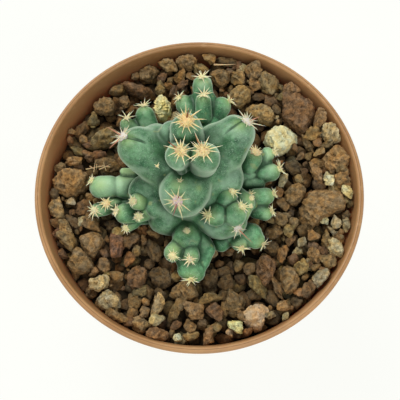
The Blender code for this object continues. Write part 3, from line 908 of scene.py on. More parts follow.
@dataclass(frozen=True)
class Stem:
    """A stem with its own skin and its spine clusters by node name."""

    name: str
    slot: str
    form: Form
    clusters: dict[str, Cluster]
    grid: Grid
    flushes: Spots = ()
    buds: tuple[Cluster, ...] = ()
    pale_spots: Spots = ()
    painted_shadows: Spots = ()

    AREOLE_FLUSH = 2.2

    def build(self, plant: "Plant", skin: Material, horn: Sequence[Material]) -> None:
        """Builds the skin and grows every cluster on it.

        Args:
            plant: The plant that the stem belongs to, whose nearby stems set where shade is painted on it.
            skin: The skin's material.
            horn: The spines' and the wool's materials.
        """
        points = self.form.wrap(*self.grid)
        piece = make_piece(self.name + "_skin", points, ball_faces(*self.grid))
        # Shares for painted shade: how sharply the skin folds, and how enclosed each place is
        set_share(piece, "painted_crease_shade", self.form.hollowness(points))
        painted_occlusion = plant.painted_occlusion(points, self.form.outward(points))
        # Painted shadow under the neighbouring lobes joins the painted occlusion shade
        set_share(piece, "painted_occlusion", np.maximum(painted_occlusion, patches(points, self.painted_shadows)))
        areoles = [(self.form.seat(c.centre, c.look), self.AREOLE_FLUSH) for c in self.clusters.values()]
        set_share(piece, "young", patches(points, [*areoles, *self.flushes]))
        set_share(piece, "pale_share", patches(points, self.pale_spots))
        dress(piece, [skin], [self.name])
        for number, (node, cluster) in enumerate(self.clusters.items()):
            spines = cluster.build(node + "_horn", self.form, self.form.seed * 100 + number)
            dress(spines, horn, [node])
        for number, bud in enumerate(self.buds, 1):
            spines = bud.build(f"{self.name}_bud_{number}", self.form, self.form.seed * 100 + 50 + number)
            dress(spines, horn)


STEM_FORM = Form(
    lobes=(
        Lobe((-2.5, 1.5, -30), 2.5, (-2.5, 1.5, -14), 9.0),
        Lobe((-2.5, 1.5, -14), 10.0, (-2.5, 2.0, 4), 12.0),
        Lobe((-2.5, 2.0, 4), 12.0, (-2.6, 3.6, 10), 8.8),
        Lobe((-7.0, 5.2, 8), 9.4, (-18.2, 7.2, 17.0), 5.8, 2.8),
        Lobe((-9.0, 10.0, 12), 5.0, (-18.2, 9.2, 17.4), 4.5, 1.4),
        Lobe((-8.0, 8.0, 8), 6.5, (-12.4, 12.6, 14.0), 3.6, 2.0),
        Lobe((-6.0, 8.0, 12), 5.5, (-8.2, 11.4, 19.5), 3.4, 1.6),
        Lobe((2.0, 6.2, 8), 9.8, (10.5, 11.0, 18.5), 5.8, 2.0),
        Lobe((3.5, 2.5, 1), 8.5, (7.4, 1.6, 7.0), 5.9),
        Lobe((-8.0, -1.0, 0), 8.0, (-16.4, -1.2, 3.6), 4.9, 2.4),
        Lobe((-9.0, -4.0, 1), 6.0, (-12.6, -6.2, 4.4), 3.8, 0.8),
        Lobe((-5.0, -4.0, -5), 8.5, (-10.2, -8.0, -1.0), 5.4),
        Lobe((-3.0, 7.0, 2), 8.5, (-3.4, 13.2, 8.0), 5.4),
        Lobe((1.0, -3.5, -1), 8.2, (6.4, -10.2, 1.6), 5.4, 1.0),
        Lobe((6.4, -10.2, 1.6), 5.2, (9.6, -10.0, 2.2), 4.9, 0.8),
        Lobe((-3.8, -1.5, 6), 8.0, (-4.6, -5.4, 14.0), 7.2, 0.8),
        Lobe((-1.6, 0.6, 13.4), 6.0, (-2.6, -3.2, 14.4), 5.8, 2.0),
        Lobe((-3.5, 9.0, 17), 5.3, (-3.7, 9.2, 27.2), 4.7, 0.5),
        Lobe((-4.9, 3.9, 20), 4.7, (-5.9, 0.9, 27.6), 3.9, 0.4),
        Lobe((0.8, 1.7, 20), 4.6, (1.6, 0.3, 27.7), 4.4, 0.4),
    ),
    heart=(-2.5, 2.5, 9.0),
    grooves=(
        Groove((-20.6, 8.7, 21.4), (-16.8, 7.6, 22.6), (-0.3, 0.1, 0.95), 0.5, 0.8),
        Groove((12.4, 13.2, 23.8), (7.8, 9.8, 21.4), (0.2, 0.1, 0.97), 0.55, 0.7),
        Groove((-3.2, -0.2, 21.2), (0.4, -1.0, 20.8), (0.0, -0.3, 0.95), 1.2, 0.5),
    ),
    unevenness=0.16,
    seed=3,
)

STEM_CLUSTERS = {
    "spines_crown_back": Cluster(
        (-3.7, 9.2, 27.2), (0.0, 0.15, 0.98), 4.5, 13, SpineTone.GOLDEN, 0.28, (0, 44),
        (((0.1, 0.45, 0.8), 4.4),), 2.1, 22
    ),
    "spines_crown_left": Cluster(
        (-5.8, 0.5, 27.7), (0.13, 0.10, 0.98), 4.7, 10, SpineTone.HONEY, 0.27, (0, 30),
        (((-0.8, 0.5, 0.4), 3.6),), 1.7, 14
    ),
    "spines_crown_right": Cluster(
        (1.6, 0.3, 27.7), (-0.14, 0.10, 0.98), 4.8, 11, SpineTone.HONEY, 0.27, (0, 30),
        (((-0.5, 0.8, 0.5), 5.2),), 1.8, 15
    ),
    "spines_left": Cluster(
        (-18.2, 7.2, 17.0), (-0.66, 0.38, 0.65), 3.8, 12, SpineTone.PALE, 0.24, (0, 34),
        (((-0.8, 0.5, 0.3), 6.0), ((-0.7, -0.6, 0.1), 5.2)), 1.6, 8,
    ),
    "spines_right": Cluster(
        (10.5, 11.0, 18.5), (0.57, 0.42, 0.70), 4.4, 11, SpineTone.PALE, 0.24, (0, 34),
        (((0.9, 0.3, 0.35), 4.4),), 1.5, 7
    ),
    "spines_front": Cluster(
        (-4.6, -5.4, 14.0), (-0.23, -0.61, 0.75), 4.6, 11, SpineTone.PINKISH, 0.25, (0, 30),
        (((0.1, 0.3, 0.9), 1.8), ((-0.25, -0.9, 0.1), 5.4)), 1.6, 7
    ),
    "spines_front_right": Cluster(
        (9.2, -10.2, 2.2), (0.42, -0.66, 0.62), 3.0, 8, SpineTone.PALE, 0.24, (0, 28),
        (((0.6, -0.75, 0.15), 6.2),), 1.2, 4
    ),
    "spines_back": Cluster((-3.4, 13.2, 8.0), (-0.10, 0.75, 0.65), 3.6, 9, SpineTone.CREAM, 0.26),
}

OFFSETS = {
    "offset_front": (
        Lobe((-3.0, -8.0, -5), 5.5, (-3.6, -14.8, -0.9), 4.5, 0.5),
        Lobe((-5.4, -16.4, -2), 2.9, (-7.8, -19.4, -0.5), 2.9, 0.3),
        Lobe((-2.6, -18.0, -1.4), 2.6, (-2.3, -20.9, 0.9), 2.4, 0.3),
        Lobe((-3.6, -24.0, -2.5), 3.1, (-1.4, -24.8, -2.4), 3.2, 0.35),
        Lobe((0.4, -14.4, -1.8), 2.7, (2.3, -18.2, -1.3), 2.4, 0.35),
        Lobe((2.3, -18.2, -1.3), 2.3, (0.9, -22.0, -2.2), 2.2, 0.35),
        Lobe((-3.4, -12.0, 1.2), 1.6, (-3.6, -13.2, 2.3), 1.4, 0.25),
    ),
    "offset_front_right": (
        Lobe((5.0, -8.0, -6), 5.0, (10.5, -12.6, -3.4), 4.0, 0.5),
        Lobe((12.2, -12.8, -2.4), 3.6, (15.6, -13.2, -1.8), 3.4, 0.35),
        Lobe((11.6, -14.0, -2.8), 2.9, (12.2, -15.6, -2.0), 2.8, 0.3),
        Lobe((15.6, -14.0, -2.2), 2.9, (17.0, -15.0, -1.8), 2.8, 0.3),
        Lobe((7.6, -13.6, -4), 3.0, (6.6, -15.4, -3.5), 2.7, 0.35),
    ),
    "offset_right": (
        Lobe((7.0, -3.5, -1), 4.5, (14.4, -3.8, 0.2), 3.3, 0.5),
        Lobe((16.8, -2.4, 0.7), 2.7, (20.0, -2.2, 0.9), 2.7, 0.3),
        Lobe((17.0, -6.2, -1.2), 2.1, (19.8, -6.9, -0.8), 2.2, 0.3),
    ),
    "offset_upper_right": (
        Lobe((7.0, 4.0, -3), 5.0, (14.8, 6.0, -2.0), 3.6, 0.5),
        Lobe((14.8, 7.6, 0.2), 2.9, (16.2, 9.6, 1.8), 3.0, 0.25),
        Lobe((19.6, 10.4, -0.8), 2.0, (20.9, 11.8, 0.6), 2.2, 0.25),
        Lobe((19.2, 5.9, -1.4), 2.7, (22.0, 6.4, -1.2), 2.7, 0.25),
        Lobe((14.6, 3.2, -1.6), 2.4, (18.0, 2.9, -1.8), 2.2, 0.25),
    ),
    "offset_back": (
        Lobe((0.5, 12.0, -4), 6.0, (2.6, 20.5, 0.5), 4.8, 0.6),
        Lobe((1.5, 24.0, 1.0), 3.4, (1.0, 32.8, 5.2), 3.1, 0.35),
        Lobe((1.4, 22.0, 4.4), 2.6, (1.3, 26.6, 7.2), 2.4, 0.3),
        Lobe((-1.6, 24.5, 1), 3.0, (-4.4, 27.4, 2.6), 2.9, 0.35),
        Lobe((4.4, 23.5, 1), 3.2, (6.7, 26.4, 2.8), 3.1, 0.35),
    ),
    "offset_back_left": (
        Lobe((-8.0, 11.0, -4), 5.0, (-14.5, 18.4, -1.6), 3.4, 0.5),
        Lobe((-15.6, 21.2, 0.2), 3.1, (-16.6, 24.0, 1.8), 3.0, 0.35),
        Lobe((-19.0, 20.0, -0.6), 2.3, (-22.2, 21.2, 1.4), 2.2, 0.35),
    ),
    "offset_left_finger": (
        Lobe((-10.0, 1.3, -3), 5.0, (-23.2, 1.5, -0.1), 3.5, 0.6),
        Lobe((-27.2, 1.4, -0.2), 3.4, (-30.0, 1.4, -0.2), 3.4, 0.5),
        Lobe((-19.4, 5.2, 1.6), 1.6, (-22.9, 5.4, 2.4), 1.2, 0.25),
    ),
    "offset_left_low": (
        Lobe((-12.0, -2.0, -5), 4.0, (-22.0, -2.6, -4.0), 3.0, 0.6),
        Lobe((-25.2, -2.9, -3.2), 2.5, (-27.4, -3.0, -2.6), 2.4, 0.35),
        Lobe((-28.4, -4.2, -4.0), 2.2, (-30.9, -4.8, -3.4), 2.2, 0.35),
    ),
    "offset_left_front": (
        Lobe((-12.0, -4.0, -6), 4.0, (-18.5, -6.2, -3.4), 3.4, 0.5),
        Lobe((-20.6, -6.4, -1.8), 3.2, (-22.6, -6.8, -1.0), 3.1, 0.35),
        Lobe((-20.0, -8.5, -4), 2.2, (-21.8, -9.8, -4), 1.9, 0.35),
    ),
    "offset_on_front_shoulder": (
        Lobe((6.6, -6.8, 2), 4.6, (7.6, -7.6, 4.4), 4.5, 0.4),
        Lobe((7.2, -6.0, 4.4), 3.8, (7.3, -4.5, 6.4), 4.2, 0.14),
        Lobe((9.6, -8.8, 4.4), 3.4, (10.4, -9.5, 6.4), 3.7, 0.14),
        Lobe((5.8, -8.8, 4.4), 3.4, (4.9, -9.6, 6.4), 3.7, 0.14),
        Lobe((10.4, -2.2, 2.4), 3.3, (13.8, -4.8, 3.2), 2.9, 0.3),
        Lobe((13.8, -4.8, 3.2), 2.9, (11.4, -10.4, 2.8), 2.6, 0.3),
    ),
    "offset_on_left_flank": (
        Lobe((-12.5, -4.5, 1), 4.0, (-15.2, -6.4, 2.6), 3.3, 0.5),
        Lobe((-16.0, -5.0, 4.0), 2.9, (-18.2, -5.2, 5.6), 2.7, 0.3),
        Lobe((-15.8, -7.8, 1.8), 2.2, (-17.9, -9.2, 3.0), 1.7, 0.3),
    ),
}

OFFSET_CLUSTERS = {
    "offset_front": (
        Cluster((-7.8, -19.4, -0.5), (-0.05, -0.55, 0.83), 2.1, 12, SpineTone.FRESH, 0.2, wool=1.2),
        Cluster((-2.3, -20.9, 0.9), (-0.15, -0.60, 0.78), 2.7, 12, SpineTone.CREAM, wool=1.05),
        Cluster((-2.5, -24.8, -2.4), (0.0, -0.88, 0.48), 2.7, 10),
    ),
    "offset_front_right": (
        Cluster((17.0, -15.0, -1.8), (0.74, -0.58, 0.34), 2.4, 8, SpineTone.DULL, 0.2, wool=0.7),
        Cluster((12.2, -15.6, -2.0), (0.15, -0.80, 0.58), 2.7, 9),
    ),
    "offset_right": (
        Cluster((15.6, -2.4, 1.0), (-0.10, 0.15, 0.98), 1.6, 8, wool=0.6),
        Cluster((20.0, -2.2, 0.9), (0.88, 0.20, 0.44), 2.0, 10, wool=0.9),
        Cluster((19.8, -6.9, -0.8), (0.85, 0.15, 0.50), 2.4, 10),
    ),
    "offset_upper_right": (
        Cluster((16.2, 9.6, 1.8), (0.28, 0.42, 0.86), 2.2, 12, SpineTone.HONEY, wool=1.5, inner=6),
        Cluster((20.9, 11.8, 0.6), (0.88, 0.10, 0.45), 2.3, 10, wool=1.0),
        Cluster((22.0, 6.4, -1.2), (0.88, 0.28, 0.40), 2.9, 12, wool=1.1),
    ),
    "offset_back": (
        Cluster((1.0, 32.8, 5.2), (-0.05, 0.35, 0.93), 3.1, 12, SpineTone.CREAM),
        Cluster((1.3, 26.6, 7.2), (0.05, 0.35, 0.93), 3.1, 11, SpineTone.CREAM),
        Cluster((-4.4, 27.4, 2.6), (-0.55, 0.45, 0.70), 2.7, 10),
        Cluster((6.7, 26.4, 2.8), (0.78, 0.42, 0.46), 2.3, 10),
    ),
    "offset_back_left": (
        Cluster((-16.6, 24.0, 1.8), (-0.15, 0.75, 0.65), 3.1, 10, SpineTone.CREAM),
        Cluster((-22.2, 21.2, 1.4), (0.00, 0.55, 0.84), 3.2, 9, SpineTone.CREAM),
    ),
    "offset_left_finger": (Cluster((-30.0, 1.4, -0.2), (-0.78, 0.42, 0.46), 1.9, 10, wool=1.1),),
    "offset_left_low": (
        Cluster((-27.4, -3.0, -2.6), (-0.30, -0.30, 0.90), 2.2, 11, SpineTone.HONEY, wool=1.2, inner=5),
        Cluster((-30.9, -4.8, -3.4), (-0.40, -0.38, 0.84), 2.6, 12, SpineTone.CREAM, wool=1.1, inner=5),
    ),
    "offset_left_front": (
        Cluster((-22.6, -6.8, -1.0), (-0.74, 0.02, 0.67), 2.1, 12, SpineTone.CREAM, wool=1.1, inner=5),
        Cluster((-21.8, -9.8, -4.0), (-0.25, -0.60, 0.76), 1.7, 9, wool=1.0),
    ),
    "offset_on_front_shoulder": (
        Cluster((7.6, -4.2, 6.6), (0.54, 0.22, 0.80), 2.8, 11, wool=1.1),
        Cluster((10.4, -9.5, 6.4), (0.56, 0.38, 0.72), 2.7, 11, wool=1.2),
        Cluster((4.9, -9.6, 6.4), (-0.58, -0.30, 0.72), 2.7, 12, wool=1.1),
    ),
    "offset_on_left_flank": (
        Cluster((-18.2, -5.2, 5.6), (-0.48, -0.26, 0.84), 1.7, 10, SpineTone.DULL, wool=1.2, inner=4),
        Cluster((-17.9, -9.2, 3.0), (-0.12, -0.30, 0.94), 1.5, 10, SpineTone.DULL, wool=1.2, inner=4),
    ),
}

# Places where young skin shows through, yellower than the rest, and how far it reaches
FLUSHES = {
    "main_stem": (
        ((-6.1, -5.2, 20.8), 2.0), ((-20.5, 8.0, 21.5), 2.2), ((11.6, 12.0, 24.0), 2.0),
        ((-14.1, 0.7, 12), 1.6), ((0.0, -6.0, 20.0), 1.0)
    ),
    "offset_front": (((-3.6, -13.2, 3.2), 1.8), ((-7.8, -19.0, 2.2), 2.6)),
    "offset_left_finger": (((-30.0, 1.2, 2.6), 2.2), ((-22.2, 5.4, 3.4), 3.2)),
    "offset_on_left_flank": (((-18.0, -5.6, 7.4), 3.0), ((-17.9, -9.2, 4.4), 2.2)),
    "offset_left_low": (((-27.4, -3.0, 0.0), 2.8),),
    "offset_on_front_shoulder": (((15.4, -4.0, 5.2), 2.4), ((14.8, -8.6, 4.6), 2.2)),
}

# Places painted paler than the rest, and how far each reaches: partly a thick waxy bloom, partly painted
# light on lit edges and on the finger, which the stem's overhang shades
PALE_SPOTS = {
    "main_stem": (
        ((-11.6, -4.4, 15.0), 2.8),
        ((-9.7, 11.0, 20.0), 2.4),
        ((16.2, 10.2, 19.0), 2.4),
        ((2.5, -13.6, 3.0), 2.8),
    ),
    "offset_left_finger": (((-24.0, 1.8, 3.2), 4.5), ((-28.2, 2.0, 2.8), 3.6)),
    "offset_back": (((1.2, 31.6, 8.0), 1.8),),
    "offset_upper_right": (((21.6, 11.0, 2.4), 2.4), ((22.0, 7.6, 1.4), 1.8)),
}

# Painted shadow: places under their neighbours painted deep green, and how far each reaches
PAINTED_SHADOWS = {"main_stem": (((-2.6, 0.2, 21.2), 1.7), ((-0.6, -0.8, 20.6), 1.5), ((-6.2, 0.2, 19.8), 1.3))}

# Young areoles with few, short spines, which stand for no CAD node
BUDS = {
    "main_stem": (
        Cluster((-11.3, 1.2, 14.0), (-0.2, 0.0, 0.98), 1.7, 5, SpineTone.FRESH, 0.2, (20, 60), wool=0.35),
        Cluster((-4.6, -5.4, 14.0), (-0.12, 0.14, 0.98), 1.0, 6, SpineTone.DULL, 0.16, (10, 40), wool=0.5),
    ),
    "offset_front": (
        Cluster((-3.6, -13.2, 2.3), (-0.10, -0.40, 0.90), 1.0, 7, SpineTone.DULL, 0.15, wool=0.95),
    ),
    "offset_on_front_shoulder": (
        Cluster((14.4, -4.4, 3.2), (0.45, 0.10, 0.88), 1.0, 7, SpineTone.FRESH, 0.15, wool=0.8),
        Cluster((13.6, -6.6, 3.0), (0.62, 0.00, 0.78), 0.9, 7, SpineTone.FRESH, 0.15, wool=0.7),
    ),
}


@dataclass
class Plant:
    """The main stem, its offsets and all their spines."""

    stem_grid: Grid = (150, 230)
    offset_grid: Grid = (52, 76)
    stem_finish: SkinFinish = SkinFinish(
        "stem_skin",
        shade=lit(42, 95, 58),
        light=lit(97, 144, 101),
        painted_crease_shade=lit(22, 62, 30),
        young=lit(150, 182, 114),
        bloom=lit(165, 199, 167),
        bloom_threshold=0.55,
    )
    offset_finish: SkinFinish = SkinFinish(
        "offset_skin",
        shade=lit(46, 106, 65),
        light=lit(106, 164, 115),
        painted_crease_shade=lit(18, 58, 26),
        young=lit(164, 190, 123),
        bloom=lit(176, 212, 170),
        bloom_threshold=0.57,
    )
    horn: TintFinish = TintFinish("spine_horn", 0.42, 0.25)
    wool: TintFinish = TintFinish("areole_wool", 0.9, 0.15, 0.5)
    stems: list[Stem] = field(default_factory=list)

    def build(self) -> None:
        """Builds every stem with its spines."""
        horn = [self.horn.material(), self.wool.material()]
        extras = (table["main_stem"] for table in (FLUSHES, BUDS, PALE_SPOTS, PAINTED_SHADOWS))
        main = Stem("main_stem", "stem_skin", STEM_FORM, STEM_CLUSTERS, self.stem_grid, *extras)
        self.stems = [main]
        for seed, (name, lobes) in enumerate(OFFSETS.items(), 5):
            clusters = {f"{name}_spines_{n}": c for n, c in enumerate(OFFSET_CLUSTERS[name], 1)}
            form = Form(lobes, lobes[0].tip, unevenness=0.08, seed=seed)
            extras = (table.get(name, ()) for table in (FLUSHES, BUDS, PALE_SPOTS, PAINTED_SHADOWS))
            self.stems.append(Stem(name, "offset_skin", form, clusters, self.offset_grid, *extras))
        stem_skin, offset_skin = self.stem_finish.material(), self.offset_finish.material()
        for stem in self.stems:
            stem.build(self, stem_skin if stem is main else offset_skin, horn)

    def distance(self, points: Array) -> Array:
        """Distance from each point to the nearest of the stems."""
        return np.min([stem.form.distance(points) for stem in self.stems], 0)

    def painted_occlusion(self, points: Array, normals: Array) -> Array:
        """How enclosed each place is, 0 to 1, for painting shade: the mean of 1 - distance / reach, out along
        the normal.
        """
        reaches = (1.0, 2.2, 4.5, 8.0)
        shares = [1 - self.distance(points + normals * reach) / reach for reach in reaches]
        return np.clip(np.mean(shares, 0), 0, 1)


# The pot


def arc(centre: Pair, radius: float, start: float, end: float, steps: int) -> Array:
    """Points (centre + radius * (cos a, sin a)) for angles from start to end, in degrees."""
    angle = np.radians(np.linspace(start, end, steps))
    return np.stack([centre[0] + radius * np.cos(angle), centre[1] + radius * np.sin(angle)], 1)


@dataclass(frozen=True)
class Pot:
    """The moulded pot: its CAD node's tapering wall and foot ring, with a narrower lip and softer edges."""

    lip_width: float = 2.0
    lip_depth: float = 4.6
    lip_round: float = 1.05
    lip_edge: float = 0.6
    lip_taper: float = 0.6
    bore: float = 46.8
    wall: float = 1.4
    shoulder_radius: float = 47.0
    foot_radius: float = 32.6
    foot_width: float = 2.6
    foot_height: float = 2.6
    foot_round: float = 0.4
    floor: float = 2.0
    drain_radius: float = 4.5
    drain_circle: float = 19.0
    drain_holes: int = 4
    columns: int = 224
    # Where round the pot, in degrees, the painted wall shade is centred, and how far it spreads
    painted_shade_side: float = 76.0
    painted_shade_spread: float = 40.0
    finish: PlasticFinish = PlasticFinish()

    def outline(self) -> Array:
        """The closed section from the underside's middle, out, up over the lip and down to the floor's."""
        bottom, rim = -RIM_HEIGHT / MM, RIM_RADIUS / MM
        neck = -self.lip_depth
        ring = self.foot_radius - self.foot_width
        under, inside = bottom + self.foot_height, bottom + self.foot_height + self.floor
        slope = (self.shoulder_radius - self.foot_radius) / (neck - bottom)
        inner_foot = self.foot_radius + slope * (inside - bottom) - self.wall
        heights = np.linspace(0, 1, 26)[:, None]
        soft = self.foot_round
        start, end = (self.foot_radius, bottom + soft), (self.shoulder_radius, neck)
        outer = np.array([start]) * (1 - heights) + heights * end
        floor_edge = (inner_foot + 2 * soft, inside + 2 * soft)
        bore = np.array([(self.bore, neck)]) * (1 - heights) + heights * floor_edge
        centre = -self.lip_round
        return np.concatenate(
            [
                np.stack([np.linspace(0, ring - 2 * soft, 12), np.full(12, under)], 1),
                [(ring - soft, under), (ring, bottom + soft), (ring + soft, bottom)],
                [(self.foot_radius - soft, bottom)],
                outer,
                arc((rim - self.lip_taper - self.lip_edge, neck + self.lip_edge), self.lip_edge, -90, 0, 5),
                arc((rim - self.lip_round, centre), self.lip_round, 0, 90, 8),
                arc((rim - self.lip_width + self.lip_round, centre), self.lip_round, 90, 180, 8),
                bore,
                np.stack([np.linspace(inner_foot, 0, 14), np.full(14, inside)], 1),
            ]
        )

    def build(self) -> None:
        """Turns the outline, cuts the drain holes and dresses the pot."""
        outline = self.outline()
        points = turned_outline(outline, self.columns)
        piece = make_piece("pot_body", points, ball_faces(len(outline) - 2, self.columns))
        for number in range(self.drain_holes):
            angle = math.radians(45) + math.tau * number / self.drain_holes
            self.cut_hole(piece, (self.drain_circle * math.cos(angle), self.drain_circle * math.sin(angle)))
        places = np.empty(len(piece.data.vertices) * 3, np.float32)
        piece.data.vertices.foreach_get("co", places)
        local = places.reshape(-1, 3) / MM - (0, 0, RIM_HEIGHT / MM)
        radius, z = np.hypot(local[:, 0], local[:, 1]), local[:, 2]
        inside = (radius < self.bore_radius(z) + 0.1) & (z > self.foot_height + 1 - RIM_HEIGHT / MM)
        # Share of dust and painted shade, growing down the inner wall
        set_share(piece, "inside", inside * np.clip((-z - 1.2) / 4.4, 0, 1))
        # Painted shade on the inner wall round one side of the pot, growing with depth
        round_pot = np.degrees(np.arctan2(local[:, 1], local[:, 0]))
        painted_wall_shade = np.exp(-(((round_pot - self.painted_shade_side) / self.painted_shade_spread) ** 2))
        set_share(piece, "painted_wall_shade", inside * np.clip((-z - 1.0) / 2.6, 0, 1) * painted_wall_shade)
        dress(piece, [self.finish.material()], ["pot"])

    def bore_radius(self, z: Array) -> Array:
        """The inner wall's radius at a height: straight from lip to neck, then tapering to the foot."""
        rim, bottom = RIM_RADIUS / MM, -RIM_HEIGHT / MM
        slope = (self.shoulder_radius - self.foot_radius) / (-self.lip_depth - bottom)
        inside = bottom + self.foot_height + self.floor
        soft = 2 * self.foot_round
        foot = self.foot_radius + slope * (inside - bottom) - self.wall + soft
        heights = (inside + soft, -self.lip_depth, -self.lip_round)
        return np.interp(z, heights, (foot, self.bore, rim - self.lip_width))

    def held_in(self, points: Array, gap: float = 0.12) -> Array:
        """Points drawn in towards the axis where they would reach into the wall."""
        radius = np.hypot(points[:, 0], points[:, 1])
        share = np.minimum(1, (self.bore_radius(points[:, 2]) - gap) / np.maximum(radius, 1e-6))
        return points * np.column_stack([share, share, np.ones(len(points))])

    def cut_hole(self, piece: Piece, middle: Pair) -> None:
        """Cuts one round drain hole through the floor."""
        bottom = -RIM_HEIGHT / MM
        shape = np.array([(0.0, -2.0), (1.0, -2.0), (1.0, 8.0), (0.0, 8.0)]) * (self.drain_radius, 1.0)
        points = turned_outline(shape, 48) + (*middle, bottom)
        cutter = make_piece("drain_cutter", points, ball_faces(2, 48))
        hole = piece.modifiers.new("drain", "BOOLEAN")
        hole.object = cutter
        bpy.context.view_layer.update()
        graph = bpy.context.evaluated_depsgraph_get()
        piece.data = bpy.data.meshes.new_from_object(piece.evaluated_get(graph))
        piece.modifiers.clear()
        bpy.data.objects.remove(cutter)


# The gravel


class Rock(Enum):
    """Kinds of stone in the top dressing, by colour."""

    BROWN = lit(136, 113, 79)
    DARK = lit(106, 88, 62)
    RED = lit(125, 98, 71)
    RUST = lit(140, 105, 67)
    ORANGE = lit(152, 122, 82)
    TAN = lit(156, 133, 92)
    OLIVE = lit(140, 121, 83)
    PALE = lit(186, 168, 128)
    GREY = lit(172, 158, 124)
    CREAM = lit(214, 210, 168)
    YELLOW = lit(200, 190, 138)
    IVORY = lit(236, 226, 168)
    PINK = lit(196, 168, 132)
    BUFF = lit(144, 119, 84)


PALE_KINDS = (Rock.CREAM, Rock.YELLOW, Rock.IVORY, Rock.PINK)


def spread_ways(count: int) -> Array:
    """Directions spread evenly over a ball: heights in equal steps, each turned by the golden angle."""
    height = 1 - (2 * np.arange(count) + 1) / count
    angle = np.arange(count) * math.pi * (3 - math.sqrt(5))
    flat = np.sqrt(1 - height * height)
    return np.stack([flat * np.cos(angle), flat * np.sin(angle), height], -1)


def convex_reach(ways: Array, normals: Array, depths: Array, power: float) -> Array:
    """How far a rounded many-faced body reaches each way: (sum of (n.w / depth) ** power) ** (-1 / power).

    Args:
        ways: Unit directions, shape (v, 3).
        normals: The facets' unit normals, shape (n, f, 3).
        depths: The facets' distances from the middle, shape (n, f).
        power: Larger is sharper.

    Returns:
        Reaches of shape (n, v).
    """
    facing = np.maximum(np.einsum("nfk,vk->nvf", normals, ways), 0) / depths[:, None]
    return (facing**power).sum(-1) ** (-1 / power)


def outline_reach(corners: Array, angles: Array) -> Array:
    """How far an outline reaches from the origin at each angle.

    A ray along w meets the side from p with direction s where t = (p x s) / (w x s), if the crossing's
    share along the side, (p x w) / (w x s), lies between 0 and 1; the farthest crossing counts.

    Args:
        corners: The outline's corners in order round the origin, shape (c, 2).
        angles: Where the reach is wanted, in radians.

    Returns:
        One reach for each angle.
    """
    side = np.roll(corners, -1, axis=0) - corners
    way = np.stack([np.cos(angles), np.sin(angles)], 1)[:, None]
    turn = way[..., 0] * side[:, 1] - way[..., 1] * side[:, 0] + 1e-9
    along = (corners[:, 0] * side[:, 1] - corners[:, 1] * side[:, 0]) / turn
    share = (corners[:, 0] * way[..., 1] - corners[:, 1] * way[..., 0]) / turn
    hit = (share > -1e-3) & (share < 1 + 1e-3) & (along > 0)
    return np.where(hit, along, 0).max(1)


def crags(points: Array, coarse: float, seed: int) -> Array:
    """Crumbling on a stone in millimetres: three ridged waves, each coarse * height * (0.8 - 2 |ripple|).

    Args:
        points: Places on the stone, shape (..., 3).
        coarse: Length of the largest wave; the others are a half and a quarter of it.
        seed: Picks the waves.

    Returns:
        How far each point stands out, about -0.3 to 0.2 of coarse.
    """
    layers = ((1.0, 0.12), (0.5, 0.075), (0.26, 0.04))
    return sum(
        coarse * height * (0.8 - 2 * np.abs(ripples(points, coarse * share, seed + number)))
        for number, (share, height) in enumerate(layers)
    )


@dataclass(frozen=True)
class Boulder:
    """A stone with an outline of its own: its kind, its corners seen from above, and how deep it lies."""

    kind: Rock
    corners: tuple[Pair, ...]
    layer: int = 0

    FACETS = 9
    POWER = 12
    COARSE = 2.8

    @property
    def middle(self) -> Array:
        """The middle of the outline's box."""
        corners = np.array(self.corners)
        return (corners.min(0) + corners.max(0)) / 2

    @property
    def span(self) -> Array:
        """The outline's width and length."""
        return np.ptp(np.array(self.corners), axis=0)

    def body(self, grid: Grid, height: float, seed: int) -> tuple[Array, Array]:
        """The stone about its middle: its outline's wall, a flat top and base, and a few broken faces.

        Along a way w the reach is (sum of terms ** power) ** (-1 / power). The terms are the level part
        of w over the outline's reach, the upright part over half the height, and n.w / depth for each
        broken face, whose depth is a share of what an ellipsoid of the same size reaches along n.

        Args:
            grid: Rows and columns of its ball grid.
            height: Its height.
            seed: Picks the broken faces and the crumbling.

        Returns:
            Points, and how far each stands out.
        """
        rng = np.random.default_rng(seed)
        ways = ball_grid(*grid)
        angle = np.arctan2(ways[:, 1], ways[:, 0])
        edge = outline_reach(np.array(self.corners) - self.middle, angle)
        normals = unit(
            np.column_stack([rng.normal(size=(self.FACETS, 2)), rng.uniform(-0.2, 1.6, self.FACETS)])
        )
        support = np.linalg.norm(normals * (*self.span / 2, height / 2), axis=1)
        depths = support * rng.uniform(0.72, 0.96, self.FACETS)
        terms = np.column_stack(
            [
                np.hypot(ways[:, 0], ways[:, 1]) / edge,
                np.abs(ways[:, 2]) / (height / 2),
                np.maximum(ways @ normals.T, 0) / depths,
            ]
        )
        points = ways * ((terms**self.POWER).sum(1) ** (-1 / self.POWER))[:, None]
        crag = crags(points + 50 * seed, self.COARSE, seed)
        return points + ways * crag[:, None], crag


